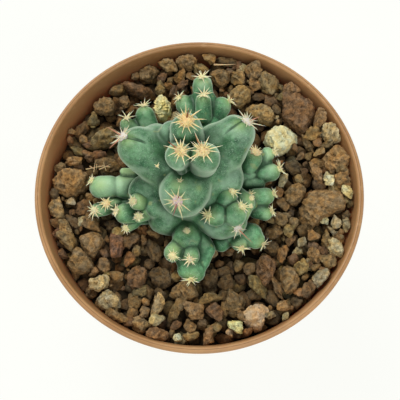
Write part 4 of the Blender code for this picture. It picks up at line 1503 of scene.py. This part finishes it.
# A program turned the traced outlines below into millimetres, and they were then thinned. It also
# fitted CHOSEN's rows to traced outlines, to half a millimetre. A second moved all by up to about 2 mm.
LANDMARKS = {
    "stone_cream": Boulder(Rock.CREAM, (
        (20.1, 18.6), (21.1, 16.1), (23.1, 14.1), (25.6, 13.6), (30.1, 17.6), (30.6, 20.6), (28.1, 22.6),
        (25.1, 23.6), (21.1, 22.1),
    )),
    "stone_pale_yellow": Boulder(Rock.IVORY, (
        (-14.5, 29), (-13.5, 27), (-12, 25), (-10.5, 25), (-9, 27), (-9, 31), (-12, 33.5), (-14, 31),
    )),
    "stone_large": Boulder(Rock.BUFF, (
        (31.5, -2.6), (29.5, -5.1), (29, -9.6), (31.5, -12.1), (33.5, -12.1), (35, -9.6), (37.5, -7.6),
        (41, -5.6), (44, -5.1), (44.5, -3.1), (43, 0.4), (41, 1.9), (37, 2.4), (33.5, 0.4),
    )),
    "stone_brown": Boulder(Rock.RED, (
        (26.2, 29.4), (26.2, 25.9), (28.7, 23.4), (31.2, 20.9), (32.7, 19.9), (34.7, 22.9), (37.2, 27.4),
        (37.2, 29.9), (34.2, 31.9), (30.2, 33.9), (27.2, 34.4), (25.2, 33.4),
    )),
    "stone_orange": Boulder(Rock.ORANGE, (
        (38, 10), (39, 8.5), (41, 7.5), (43, 7.5), (45.5, 9.5), (46.5, 12), (45, 14), (44, 17), (42.5, 17),
        (41, 14.5), (38, 12),
    )),
    "stone_left": Boulder(Rock.ORANGE, (
        (-45.5, 5.8), (-44, 2.3), (-40, 0.3), (-35.5, 0.8), (-34, 4.3), (-34.5, 8.8), (-38, 9.8), (-42, 8.8),
    )),
    "stone_pink_cream": Boulder(Rock.PINK, (
        (13.4, -39.6), (15.9, -42.1), (18.4, -41.6), (19.4, -38.1), (21.4, -36.1), (18.9, -34.1),
        (15.4, -35.1), (12.9, -37.6),
    )),
    "stone_red": Boulder(Rock.RED, (
        (16.9, -23.9), (18.4, -27.4), (19.9, -28.4), (21.9, -25.9), (23.4, -20.9), (22.9, -18.9),
        (21.4, -18.4), (18.4, -19.9), (16.9, -21.4),
    )),
}

BOULDERS = (
    Boulder(Rock.BROWN, (
        (-19.5, 41.1), (-18, 38.4), (-15, 38.9), (-12.5, 42.2), (-13.5, 44.5), (-16.5, 44), (-19, 42.5),
    ), 1),
    Boulder(Rock.BUFF, ((-7.5, 44.1), (-5, 41.9), (-2.5, 41.9), (0, 45.1), (-2, 47), (-5, 47), (-7.5, 45.5))),
    Boulder(Rock.BROWN, ((4, 38.6), (7, 35.7), (9.5, 38.1), (9.5, 41.4), (8, 42.3), (5, 42.4), (3.5, 40.5))),
    Boulder(Rock.TAN, ((9, 31.3), (13, 28.8), (16, 31.2), (16, 33.7), (14, 35.6), (11, 36.1), (9, 33.7))),
    Boulder(Rock.TAN, (
        (15, 26.8), (18, 24.8), (22, 23.3), (24.5, 24.7), (24, 27.2), (20, 29.7), (16.5, 29.8), (14.5, 28.3),
    )),
    Boulder(Rock.RED, (
        (-25, 37.6), (-21.5, 34.5), (-16, 32.2), (-13, 32.7), (-14, 34.7), (-19.5, 36), (-23, 38.6),
    )),
    Boulder(Rock.BROWN, (
        (-33.5, 29.2), (-31.5, 26.9), (-28, 27.1), (-25.5, 29.1), (-26, 31.5), (-29, 32.3), (-32, 31.2),
    )),
    Boulder(Rock.OLIVE, (
        (-35.5, 16.6), (-33, 15.7), (-28, 15.8), (-26, 18.3), (-24, 21.8), (-25, 23.8), (-28, 23.2),
        (-31.5, 20.6),
    )),
    Boulder(Rock.BUFF, (
        (-37, -12.1), (-36, -14.6), (-34, -18.1), (-32, -18.6), (-28.5, -14.1), (-29, -12.1), (-33, -10.6),
    )),
    Boulder(Rock.BROWN, (
        (-40, -21.1), (-38, -24.1), (-34, -25.1), (-32, -22.1), (-33, -19.6), (-35.5, -17.1), (-37.5, -16.1),
        (-38.5, -18.6),
    )),
    Boulder(Rock.PALE, (
        (-33.5, -26.1), (-33, -28.6), (-30, -29.6), (-27.5, -28.1), (-27, -25.1), (-29, -24.6), (-31, -26.1),
    )),
    Boulder(Rock.GREY, (
        (-31, -32.1), (-30, -34.6), (-27, -36.1), (-23, -35.6), (-24, -32.6), (-27.5, -29.1), (-30, -29.6),
    )),
    Boulder(Rock.RED, (
        (-22, -25.1), (-21.5, -29.1), (-19.5, -30.1), (-17, -28.6), (-16, -24.1), (-18, -21.6), (-21, -22.6),
    )),
    Boulder(Rock.DARK, (
        (-15.5, -24.1), (-13.5, -28.1), (-10, -29.1), (-8, -26.1), (-9.5, -22.6), (-14, -22.1),
    ), 1),
    Boulder(Rock.BROWN, (
        (-9.5, -31.6), (-7.5, -28.1), (-4, -27.1), (0, -29.1), (-0.5, -31.6), (-3, -32.6), (-8, -33.1),
    )),
    Boulder(Rock.DARK, (
        (0.5, -26.6), (1.5, -29.1), (3.5, -29.6), (5.5, -28.1), (5.5, -24.1), (3, -20.6), (1, -23.1),
    ), 2),
    Boulder(Rock.BROWN, (
        (24, -23.6), (24.5, -27.1), (25.5, -31.1), (28, -31.6), (30, -29.6), (29.5, -25.1), (26.5, -22.1),
    )),
    Boulder(Rock.BROWN, (
        (26, 1.4), (26.5, -2.1), (28.5, -3.6), (31, -1.6), (33, 1.8), (30.5, 4.3), (27, 3.9),
    )),
    Boulder(Rock.PALE, (
        (38, 20.8), (37.5, 17.9), (40, 16.8), (43.5, 17), (44, 19), (42, 22), (40.5, 23.5), (38.5, 22.7),
    )),
)

# x, y, width, length, turn in degrees, kind, layer: 0 on top, 2 deep between the others
CHOSEN = (
    (-9.5, 42.8, 6.5, 4.5, -60, Rock.TAN, 0), (3, 45.1, 4, 3.5, -5, Rock.ORANGE, 0),
    (0.5, 41.9, 4.5, 3.5, 15, Rock.TAN, 0), (12, 38.5, 5.5, 4, -75, Rock.TAN, 0),
    (17, 41.2, 5.5, 5, -80, Rock.BUFF, 0), (18, 36.5, 4.5, 3.5, -10, Rock.ORANGE, 1),
    (18.5, 33.1, 4, 3, -20, Rock.DARK, 2), (22, 37.3, 7, 5.5, -70, Rock.TAN, 0),
    (22.5, 31.1, 4, 4, 5, Rock.RED, 1), (29, 34.6, 6, 3.5, -20, Rock.BUFF, 1),
    (8.5, 44.6, 6.5, 3, -10, Rock.DARK, 1), (-6, 39.5, 4, 3.5, -75, Rock.ORANGE, 1),
    (-5, 36.2, 4, 3.5, 30, Rock.RED, 1), (-8, 34.7, 4.5, 3, 55, Rock.RED, 1),
    (-12.5, 36.1, 4.5, 3, -75, Rock.OLIVE, 1), (-23.5, 31.6, 4.5, 3, -65, Rock.BUFF, 1),
    (-36.5, 23.3, 6, 3, 50, Rock.RED, 2), (-36, 19.5, 3, 2.5, -90, Rock.ORANGE, 1),
    (-37.5, 15.5, 4.5, 3, -35, Rock.OLIVE, 1), (-39, 11.5, 5, 3, -10, Rock.ORANGE, 0),
    (-34.5, 13.7, 4.5, 3, -20, Rock.BROWN, 1), (-43, 9.7, 3.5, 3, 25, Rock.BUFF, 1),
    (-28, 10.3, 8, 3.5, -5, Rock.BROWN, 0), (-43.5, -3.1, 7, 5, 85, Rock.TAN, 0),
    (-35.5, -3.1, 7, 5, -40, Rock.RED, 1), (-33.5, -0.1, 3.5, 2.5, -35, Rock.ORANGE, 1),
    (-40.5, -10.1, 6.5, 3.5, -50, Rock.TAN, 0), (-40.5, -14.1, 7, 4.5, -25, Rock.BUFF, 0),
    (-38.5, -7.6, 5, 3, -60, Rock.DARK, 1), (-25.5, -15.6, 7.5, 5, 75, Rock.RED, 0),
    (-29, -17.6, 3, 2.5, -15, Rock.RED, 1), (-21, -13.6, 6, 5, 15, Rock.RED, 1),
    (-29, -21.6, 4.5, 3.5, -65, Rock.BROWN, 1), (-25, -24.6, 4, 3.5, -45, Rock.ORANGE, 1),
    (-24, -37.6, 7, 3, -25, Rock.BROWN, 0), (-21, -19.6, 5, 3, 85, Rock.RUST, 1),
    (-14, -17.1, 6.5, 4.5, -80, Rock.DARK, 1), (-19.5, -32.6, 5.5, 4, 80, Rock.BROWN, 1),
    (-16.5, -36.1, 3.5, 4, -55, Rock.BUFF, 1), (-18, -39.6, 5.5, 4, -45, Rock.TAN, 1),
    (-12.5, -34.6, 7, 4, -85, Rock.PALE, 0), (-12.5, -39.1, 4.5, 3.5, -5, Rock.PALE, 0),
    (-12.5, -42.6, 6.5, 5, 10, Rock.ORANGE, 0), (-33, -8.6, 7, 4, -40, Rock.BROWN, 1),
    (-41.5, -17.6, 3.5, 3, 0, Rock.RED, 1), (-26.5, -8.1, 5, 4, -25, Rock.DARK, 2),
    (-15, -30.1, 4.5, 3, -85, Rock.DARK, 1), (3.5, -32.6, 7.5, 3.5, 0, Rock.BROWN, 0),
    (-2, -36.1, 6.5, 5, -20, Rock.BROWN, 0), (4.5, -36.6, 5, 5, -20, Rock.RED, 0),
    (-7.5, -36.6, 5.5, 3, 75, Rock.BROWN, 1), (-3, -40.6, 4, 3.5, -40, Rock.ORANGE, 1),
    (-2.5, -43.6, 4.5, 3.5, -20, Rock.TAN, 1), (1, -40.1, 3.5, 3, 45, Rock.BROWN, 2),
    (2.5, -43.6, 5, 4, -75, Rock.ORANGE, 1), (5, -41.1, 3.5, 3, 40, Rock.BUFF, 1),
    (7, -39.1, 3.5, 2.5, 80, Rock.DARK, 2), (-6.5, -44.1, 2.5, 2.5, 30, Rock.CREAM, 1),
    (-7, -40.6, 3, 2.5, 60, Rock.RED, 1), (8, -27.6, 5, 4.5, -45, Rock.DARK, 1),
    (11, -33.1, 6.5, 5.5, 80, Rock.BROWN, 0), (10, -37.1, 2.5, 2.5, 85, Rock.DARK, 1),
    (11, -41.1, 5, 3.5, -35, Rock.YELLOW, 0), (9, -43.1, 2.5, 2, -60, Rock.PINK, 1),
    (17.5, -28.6, 7.5, 4, -55, Rock.BROWN, 1), (12.5, -25.6, 3.5, 3.5, 50, Rock.DARK, 2),
    (12, -22.1, 4, 3, -90, Rock.BROWN, 1), (9, -22.6, 3.5, 3, 90, Rock.DARK, 2),
    (25, -19.1, 5.5, 3, 85, Rock.RUST, 0), (23.5, -28.6, 8, 2.5, -75, Rock.BROWN, 1),
    (25, -35.1, 4, 3.5, -25, Rock.ORANGE, 0), (21, -37.6, 3.5, 2, 35, Rock.PALE, 1),
    (25.5, -38.1, 2.5, 2, 20, Rock.GREY, 1), (30.5, -23.1, 4.5, 4, 75, Rock.TAN, 0),
    (34.5, -19.6, 4.5, 4, -90, Rock.BROWN, 0), (33, -29.1, 6.5, 3.5, 70, Rock.BROWN, 1),
    (29, -33.1, 4.5, 3.5, 90, Rock.DARK, 2), (38.5, -21.6, 5, 3.5, -20, Rock.ORANGE, 0),
    (41, -17.6, 5.5, 4, -85, Rock.PALE, 0), (34.5, -13.1, 3.5, 3, 10, Rock.ORANGE, 0),
    (34.5, -16.1, 3.5, 3, 15, Rock.BROWN, 1), (38.5, -14.6, 6, 3, 90, Rock.BUFF, 1),
    (31, -15.1, 3.5, 2.5, 50, Rock.GREY, 1), (29.5, -17.6, 3, 2, 20, Rock.PALE, 2),
    (27, -11.6, 4, 3, 65, Rock.OLIVE, 0), (36, -26.6, 6, 4, 65, Rock.GREY, 0),
    (35, -23.1, 3, 2, 5, Rock.BROWN, 1), (35.5, 6.2, 6.5, 5, 75, Rock.BUFF, 0),
    (39.5, 4.5, 4.5, 3.5, -55, Rock.CREAM, 0), (44, 4.2, 5.5, 4.5, -50, Rock.ORANGE, 0),
    (45, 0.4, 3.5, 3.5, 75, Rock.YELLOW, 0), (38, -8.6, 2.5, 2, 15, Rock.CREAM, 1),
    (41.5, -9.1, 3.5, 3, 65, Rock.PALE, 1), (44.5, -9.6, 5, 2, -90, Rock.PALE, 1),
    (40.5, -11.6, 4, 2, -35, Rock.PALE, 2), (29, 8.8, 5, 4, -10, Rock.DARK, 1),
    (31, 12.8, 3, 2.5, 0, Rock.BROWN, 1), (37, 14, 4, 2.5, 20, Rock.TAN, 1),
    (35, 19.5, 5, 4, -5, Rock.ORANGE, 0), (37.5, 24.6, 7, 3.5, 85, Rock.BUFF, 0),
    (39.5, 16.3, 4, 2.5, 5, Rock.BROWN, 1), (34, 16.6, 6.5, 2.5, -55, Rock.OLIVE, 2),
    (29.5, 15.3, 2.5, 2, -85, Rock.RED, 1), (46, -3.1, 2.5, 2, -85, Rock.DARK, 1),
    (25.5, -2.6, 5, 3.5, -80, Rock.BUFF, 1), (28, -5.1, 4.5, 2.5, -85, Rock.DARK, 2),
    (25, -7.6, 4, 4.5, 75, Rock.BUFF, 1), (22.5, -11.6, 5, 4.5, 35, Rock.BROWN, 1),
    (27.5, -14.6, 3.5, 3, 85, Rock.RED, 1), (21.5, -16.1, 5, 4.5, -10, Rock.DARK, 2),
)


@dataclass
class Rubble:
    """Loose stones, each a rounded many-faced body of its own, in one mesh."""

    places: Array
    sizes: Array
    turns: Array
    kinds: Array
    rows: int
    columns: int
    seed: int
    coarse: float = 2.4
    facets: int = 11

    POWER = 14
    FULL_SIZE = 5.0

    def build(self, name: str, wall: "Pot") -> Piece:
        """Shapes, tilts, turns and places every stone, keeps it inside the pot's wall, and tints it.

        A stone's point is turn * tilt * (way * reach(way) * size / 2 + way * crag) + place.
        """
        rng = np.random.default_rng(self.seed)
        count = len(self.places)
        ways = ball_grid(self.rows, self.columns)
        normals = unit(spread_ways(self.facets) + 0.42 * rng.normal(size=(count, self.facets, 3)))
        reach = convex_reach(ways, normals, rng.uniform(0.62, 1.0, (count, self.facets)), self.POWER)
        body = ways[None] * reach[..., None]
        low, high = body.min(1, keepdims=True), body.max(1, keepdims=True)
        body = (body - (low + high) / 2) * self.sizes[:, None] / (high - low)
        crag = crags(body + 60.0 * np.arange(count)[:, None, None], self.coarse, self.seed)
        crag *= np.minimum(1, self.sizes.mean(1) / self.FULL_SIZE)[:, None]
        body = body + ways[None] * crag[..., None]
        tilt = rng.normal(size=(count, 2)) * 0.2
        body[..., 2] += body[..., 0] * tilt[:, :1] + body[..., 1] * tilt[:, 1:]
        cos, sin = np.cos(self.turns)[:, None], np.sin(self.turns)[:, None]
        x = body[..., 0] * cos - body[..., 1] * sin
        y = body[..., 0] * sin + body[..., 1] * cos
        points = np.stack([x, y, body[..., 2]], -1) + self.places[:, None]
        points = wall.held_in(points.reshape(-1, 3))
        piece = make_piece(name, points, ball_faces(self.rows, self.columns, count))
        shade = rng.uniform(0.84, 1.1, (count, 1)) * (1 + 0.03 * rng.normal(size=(count, 3)))
        set_tint(piece, np.repeat(self.kinds * shade, len(ways), 0))
        set_share(piece, "crag", raised(crag.ravel(), self.coarse))
        return piece


def raised(crag: Array, coarse: float) -> Array:
    """Crumbling heights as shares: 0 in the dips, 1 on the crests."""
    return np.clip(0.5 + crag / (0.4 * coarse), 0, 1)


def spread_out(
    places: Array, radii: Array, fixed: Array, fixed_radii: Array, plant: Plant, level: float, room: float
) -> Array:
    """Pushes discs apart until they pack loosely inside the pot and round the plant.

    Each step moves every pair of discs that overlap apart by 0.9 of their overlap, away from a fixed disc
    by 0.8 of it, and back inside the pot's wall. Every fourth step also moves them out of the stems, up
    the slope of the distance to them.

    Args:
        places: The discs' middles, shape (n, 2).
        radii: Their radii.
        fixed: Middles of discs that don't move.
        fixed_radii: Their radii.
        plant: The plant, whose stems push discs away.
        level: The height at which the stems are measured.
        room: The radius that the discs stay within.

    Returns:
        The new middles.
    """
    places = places.copy()
    step = 0.4
    rounds = 120
    for turn in range(rounds):
        gap = places[:, None] - places[None]
        far = np.linalg.norm(gap, axis=2) + np.eye(len(places)) * 99
        push = np.maximum(radii[:, None] + radii[None] - far, 0) / far
        places += 0.45 * (gap * push[..., None]).sum(1)
        if len(fixed):
            gap = places[:, None] - fixed[None]
            far = np.linalg.norm(gap, axis=2) + 1e-6
            push = np.maximum(radii[:, None] + fixed_radii[None] - far, 0) / far
            places += 0.8 * (gap * push[..., None]).sum(1)
        if turn % 4 == 0:
            at = np.column_stack([places, np.full(len(places), level)])
            here = plant.distance(at)
            slope = np.stack([plant.distance(at + way) - here for way in ((step, 0, 0), (0, step, 0))], 1)
            places += np.maximum(0.55 * radii - here, 0)[:, None] * slope / step
        away = np.linalg.norm(places, axis=1)
        places *= np.minimum(1, (room - 0.9 * radii) / away)[:, None]
    return places


@dataclass(frozen=True)
class Scatter:
    """A kind of loose small stone: how many, their radii, height over the mean level, and look."""

    name: str
    count: int
    radius: Pair
    lift: float
    grid: Grid
    seed: int
    # shade scales the stones' colour; the lower layer's small value is painted shade between the stones above
    shade: float = 1.0
    round_fixed: bool = True


@dataclass
class Gravel:
    """The top dressing: the largest stones, the listed stones, small fill, and what shows below them."""

    plant: Plant
    pot: Pot
    room: float = 46.2
    top: float = -4.3
    rise: Pair = (0.036, 0.012)
    bank: float = 0.9
    layer_drop: float = 1.2
    # Painted shade: each layer down scales a listed stone's colour by this much less
    layer_painted_shade: float = 0.12
    disc: float = 0.46
    sunk: float = 0.2
    scatters: tuple[Scatter, ...] = (
        Scatter("gravel_fill", 130, (1.1, 2.2), -0.7, (12, 18), 21, 0.9),
        Scatter("gravel_grit", 110, (0.6, 1.1), -1.4, (5, 8), 22, 0.9),
        Scatter("gravel_lower", 300, (1.9, 3.2), -4.4, (6, 9), 23, 0.6, round_fixed=False),
    )
    finish: RockFinish = RockFinish("gravel_rock", 0.42, 0.39, 0.8)
    smooth_finish: RockFinish = RockFinish("pale_rock", 0.42, 0.28, 0.5, contrast=0.4, roughness=(0.6, 0.85))
    # The bed's near-black colour is painted shade deep between the stones
    bed_finish: RockFinish = RockFinish("bed_grit", 0.8, 0.44, 0.5, lit(42, 33, 16))

    def level(self, places: Array) -> Array:
        """The gravel's mean height: rising towards +X and +Y, and banked up by r ** 4 at the wall."""
        bank = self.bank * (np.hypot(places[:, 0], places[:, 1]) / self.room) ** 4
        return self.top + places[:, 0] * self.rise[0] + places[:, 1] * self.rise[1] + bank

    def build(self) -> None:
        """Builds the bed, the listed stones and the loose stones between them."""
        rock, smooth = self.finish.material(), self.smooth_finish.material()
        self.build_bed()
        self.build_chosen(rock)
        self.build_boulders(rock)
        for scatter in self.scatters:
            self.build_loose(scatter, rock)
        for number, (node, boulder) in enumerate(LANDMARKS.items()):
            pale = boulder.kind in PALE_KINDS
            self.build_landmark(node, boulder, smooth if pale else rock, 60 + number)

    def build_bed(self) -> None:
        """The closed mass of grit that fills the pot from the potting mix up to below the loose stones, near
        black as painted shade between them.
        """
        low = (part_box("gravel_bed")[0].z - RIM_HEIGHT) / MM
        rings, columns = 46, 120
        radii = np.linspace(0, self.room, rings)[::-1]
        surface = np.stack([radii, np.full(rings, self.top - 6.0)], 1)
        outline = np.concatenate([[(0, low), (self.room, low)], surface])
        points = turned_outline(outline, columns)
        above = points[:, 2] > low + 1
        points[above, 2] += 0.7 * ripples(points[above], 3.0, 9, 16)
        piece = make_piece("gravel_floor", self.pot.held_in(points), ball_faces(len(outline) - 2, columns))
        dress(piece, [self.bed_finish.material()], ["gravel_bed"])

    def build_chosen(self, rock: Material) -> None:
        """The listed stones that have no outline of their own."""
        table = np.array([row[:5] for row in CHOSEN])
        layer = np.array([row[6] for row in CHOSEN])
        # Deeper stones get painted shade: their colour is scaled down
        kinds = np.array([row[5].value for row in CHOSEN]) * (1 - self.layer_painted_shade * layer[:, None])
        sizes = np.column_stack([table[:, 2:4] * 1.08, table[:, 2:4].mean(1) * 0.85])
        height = self.level(table[:, :2]) + 0.6 - self.sunk * sizes[:, 2] - self.layer_drop * layer
        places = np.column_stack([table[:, :2], height])
        stones = Rubble(places, sizes, np.radians(table[:, 4]), kinds, 24, 34, 31)
        dress(stones.build("gravel_chosen", self.pot), [rock])

    def build_boulders(self, rock: Material) -> None:
        """The stones with outlines of their own that stand for no CAD node, in one mesh."""
        grid = (34, 52)
        blocks, shares, tints = [], [], []
        for seed, boulder in enumerate(BOULDERS, 100):
            height = 0.72 * boulder.span.mean()
            points, crag = boulder.body(grid, height, seed)
            level = self.level(boulder.middle[None])[0] + 0.7 - self.sunk * height
            blocks.append(points + (*boulder.middle, level - self.layer_drop * boulder.layer))
            shares.append(raised(crag, boulder.COARSE))
            # Deeper stones get painted shade: their colour is scaled down
            tint = np.array(boulder.kind.value) * (1 - self.layer_painted_shade * boulder.layer)
            tints.append(np.tile(tint, (len(points), 1)))
        points = self.pot.held_in(np.concatenate(blocks))
        piece = make_piece("gravel_boulders", points, ball_faces(*grid, len(BOULDERS)))
        set_tint(piece, np.concatenate(tints))
        set_share(piece, "crag", np.concatenate(shares))
        dress(piece, [rock])

    def taken(self) -> tuple[Array, Array]:
        """Middles and radii of the discs that the listed stones take up."""
        boulders = [*LANDMARKS.values(), *BOULDERS]
        middles = [boulder.middle for boulder in boulders] + [row[:2] for row in CHOSEN]
        radii = [self.disc * boulder.span.mean() for boulder in boulders]
        radii += [self.disc * (row[2] + row[3]) / 2 for row in CHOSEN]
        return np.array(middles), np.array(radii)

    def build_loose(self, scatter: Scatter, rock: Material) -> None:
        """Small stones that pack round the listed ones, or lie below them.

        Args:
            scatter: Their number, sizes and height.
            rock: Their material.
        """
        rng = np.random.default_rng(scatter.seed)
        count = scatter.count
        radii = rng.uniform(*scatter.radius, count)
        angle, away = rng.uniform(0, math.tau, count), self.room * np.sqrt(rng.uniform(0, 1, count))
        flat = np.stack([away * np.cos(angle), away * np.sin(angle)], 1)
        fixed = self.taken() if scatter.round_fixed else (np.empty((0, 2)), np.empty(0))
        flat = spread_out(flat, radii, *fixed, self.plant, self.top + scatter.lift, self.room)
        height = self.level(flat) + scatter.lift - 0.3 * radii + rng.uniform(-0.6, 0.6, count)
        keep = self.plant.distance(np.column_stack([flat, height])) > 0.1 * radii
        common = (Rock.BROWN, Rock.DARK, Rock.RED, Rock.BUFF, Rock.OLIVE, Rock.TAN, Rock.RUST, Rock.ORANGE)
        rare = (Rock.GREY, Rock.PALE)
        shares = np.array([1.0] * len(common) + [0.25] * len(rare))
        colours = np.array([kind.value for kind in common + rare])
        kinds = colours[rng.choice(len(shares), count, p=shares / shares.sum())] * scatter.shade
        sizes = 2 * radii[:, None] * rng.uniform((0.95, 0.75, 0.6), (1.25, 1.0, 0.85), (count, 3))
        places = np.column_stack([flat, height])
        turns = rng.uniform(0, math.tau, count)
        stones = Rubble(places[keep], sizes[keep], turns[keep], kinds[keep], *scatter.grid, scatter.seed, 1.7)
        dress(stones.build(scatter.name, self.pot), [rock])

    def build_landmark(self, node: str, boulder: Boulder, rock: Material, seed: int) -> None:
        """One of the largest stones, close to its CAD node's place, and of its height but for the crags.

        Args:
            node: The CAD node that it stands for.
            boulder: Its outline and kind.
            rock: Its material.
            seed: Picks its broken faces.
        """
        low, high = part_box(node)
        height = (high.z - low.z) / MM
        grid = (60, 92)
        points, crag = boulder.body(grid, height, seed)
        points = points + (*boulder.middle, ((low.z + high.z) / 2 - RIM_HEIGHT) / MM)
        piece = make_piece(node + "_rock", self.pot.held_in(points), ball_faces(*grid))
        set_tint(piece, np.tile(boulder.kind.value, (len(points), 1)))
        set_share(piece, "crag", raised(crag, boulder.COARSE))
        dress(piece, [rock], [node])


# Litter


@dataclass(frozen=True)
class Litter:
    """Dead spines and straws loose on the gravel: where each starts, its direction, length and radius."""

    straws: tuple[tuple[Place, Place, float, float], ...] = (
        ((4.6, 42.6, -1.6), (1.0, -0.05, 0.08), 7.0, 0.32),
        ((-34.6, 7.3, -0.6), (0.95, 0.1, 0.2), 5.0, 0.2),
        ((-29.0, 8.5, -0.8), (-0.8, -0.3, 0.35), 4.5, 0.2),
        ((-32.2, 6.3, -0.4), (0.2, 0.9, 0.4), 4.0, 0.2),
        ((-30.6, 7.1, -0.4), (0.9, 0.4, 0.1), 4.2, 0.2),
        ((-33.4, 8.3, -0.6), (0.6, -0.6, 0.5), 3.6, 0.18),
        ((-28.4, 6.7, -0.2), (-0.3, 0.8, 0.5), 3.4, 0.18),
        ((-31.4, 8.9, -0.8), (0.1, -0.7, 0.6), 3.2, 0.18),
        ((-27.2, 7.9, -0.4), (-0.95, 0.1, 0.2), 3.8, 0.18),
    )
    rows: int = 7
    sides: int = 7

    def build(self, horn: Material) -> None:
        """Lays the straws down."""
        base, way = (np.array([straw[part] for straw in self.straws]) for part in (0, 1))
        length, girth = (np.array([straw[part] for straw in self.straws]) for part in (2, 3))
        rng = np.random.default_rng(77)
        bend = 0.12 * unit(rng.normal(size=base.shape))
        points = spine_points(base, unit(way), length, girth, bend, self.rows, self.sides)
        piece = make_piece("dead_straws", points.reshape(-1, 3), ball_faces(self.rows, self.sides, len(base)))
        tones = np.tile(np.array(SpineTone.DRY.value[:3]), (len(base), 1, 1))
        set_tint(piece, spine_tints(tones, self.rows, self.sides).reshape(-1, 3))
        dress(piece, [horn])


# Studio


@dataclass(frozen=True)
class Studio:
    """A pale floor, a key light behind on the left, a fill in front, and the camera above the front."""

    distance: float = 0.42
    elevation: float = 70.7
    aim: Place = (0.0002, -0.002575, 0.0751)
    lens: float = 124.68
    floor_size: float = 3.0
    pale: Colour = lit(252, 253, 248)

    def build(self) -> None:
        """Builds the camera, floor, lights and sky."""
        scene = bpy.context.scene
        scene.view_settings.view_transform = "Standard"
        camera = bpy.data.objects.new("camera", bpy.data.cameras.new("camera"))
        turn = math.radians(self.elevation)
        camera.location = (0, -self.distance * math.cos(turn), RIM_HEIGHT + self.distance * math.sin(turn))
        camera.rotation_euler = (Vector(self.aim) - camera.location).to_track_quat("-Z", "Y").to_euler()
        camera.data.lens = self.lens
        camera.data.clip_start = 0.01
        scene.collection.objects.link(camera)
        scene.camera = camera
        self.build_floor()
        self.add_light("key", (-0.3, 0.55, 1.0), 0.5, 8.5)
        self.add_light("fill", (0.4, -0.8, 0.8), 1.0, 6.5)
        world = scene.world or bpy.data.worlds.new("studio")
        scene.world = world
        world.use_nodes = True
        background = world.node_tree.nodes["Background"]
        background.inputs["Color"].default_value = opaque(lit(244, 248, 255))
        background.inputs["Strength"].default_value = 0.46

    def build_floor(self) -> None:
        """The floor, a pale sheet that glows so that shadows on it stay soft."""
        half = self.floor_size / 2
        mesh = bpy.data.meshes.new("floor")
        corners = [(-half, -half, 0), (half, -half, 0), (half, half, 0), (-half, half, 0)]
        mesh.from_pydata(corners, [], [(0, 1, 2, 3)])
        floor = bpy.data.objects.new("floor", mesh)
        bpy.context.scene.collection.objects.link(floor)
        material, tree, shader = new_material("floor_paper")
        mottle = tree.group(
            MOTTLE, {"Place": tree.place(), "Size": 30.0, "Dark": (0.04,) * 3, "Light": (0.045,) * 3}
        )
        tree.feed(shader, {
            "Base Color": mottle.outputs["Color"], "Roughness": 0.9,
            "Emission Color": opaque(self.pale), "Emission Strength": 0.95,
        })
        mesh.materials.append(material)

    def add_light(self, name: str, location: Place, size: float, power: float) -> None:
        """An area light that faces the middle of the rim."""
        light = bpy.data.lights.new(name, "AREA")
        light.size = size
        light.energy = power
        light.color = (1.0, 0.985, 0.955)
        lamp = bpy.data.objects.new(name, light)
        lamp.location = location
        facing = Vector((0, 0, RIM_HEIGHT)) - Vector(location)
        lamp.rotation_euler = facing.to_track_quat("-Z", "Y").to_euler()
        bpy.context.scene.collection.objects.link(lamp)


def dress_potting_mix() -> None:
    """Gives the potting mix, which keeps its CAD shape, its crumbly dark finish."""
    finish = RockFinish("potting_mix_soil", 1.1, 0.42, 0.6, lit(58, 42, 30))
    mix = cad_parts["potting_mix"].data
    mix.materials.clear()
    mix.materials.append(finish.material())


def main() -> None:
    """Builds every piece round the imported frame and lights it."""
    logging.basicConfig(level=logging.INFO, format="%(name)s: %(message)s")
    Studio().build()
    pot = Pot()
    pot.build()
    dress_potting_mix()
    plant = Plant()
    plant.build()
    Gravel(plant, pot).build()
    Litter().build(bpy.data.materials[plant.horn.name])
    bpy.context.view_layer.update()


if __name__ == "__main__":
    main()
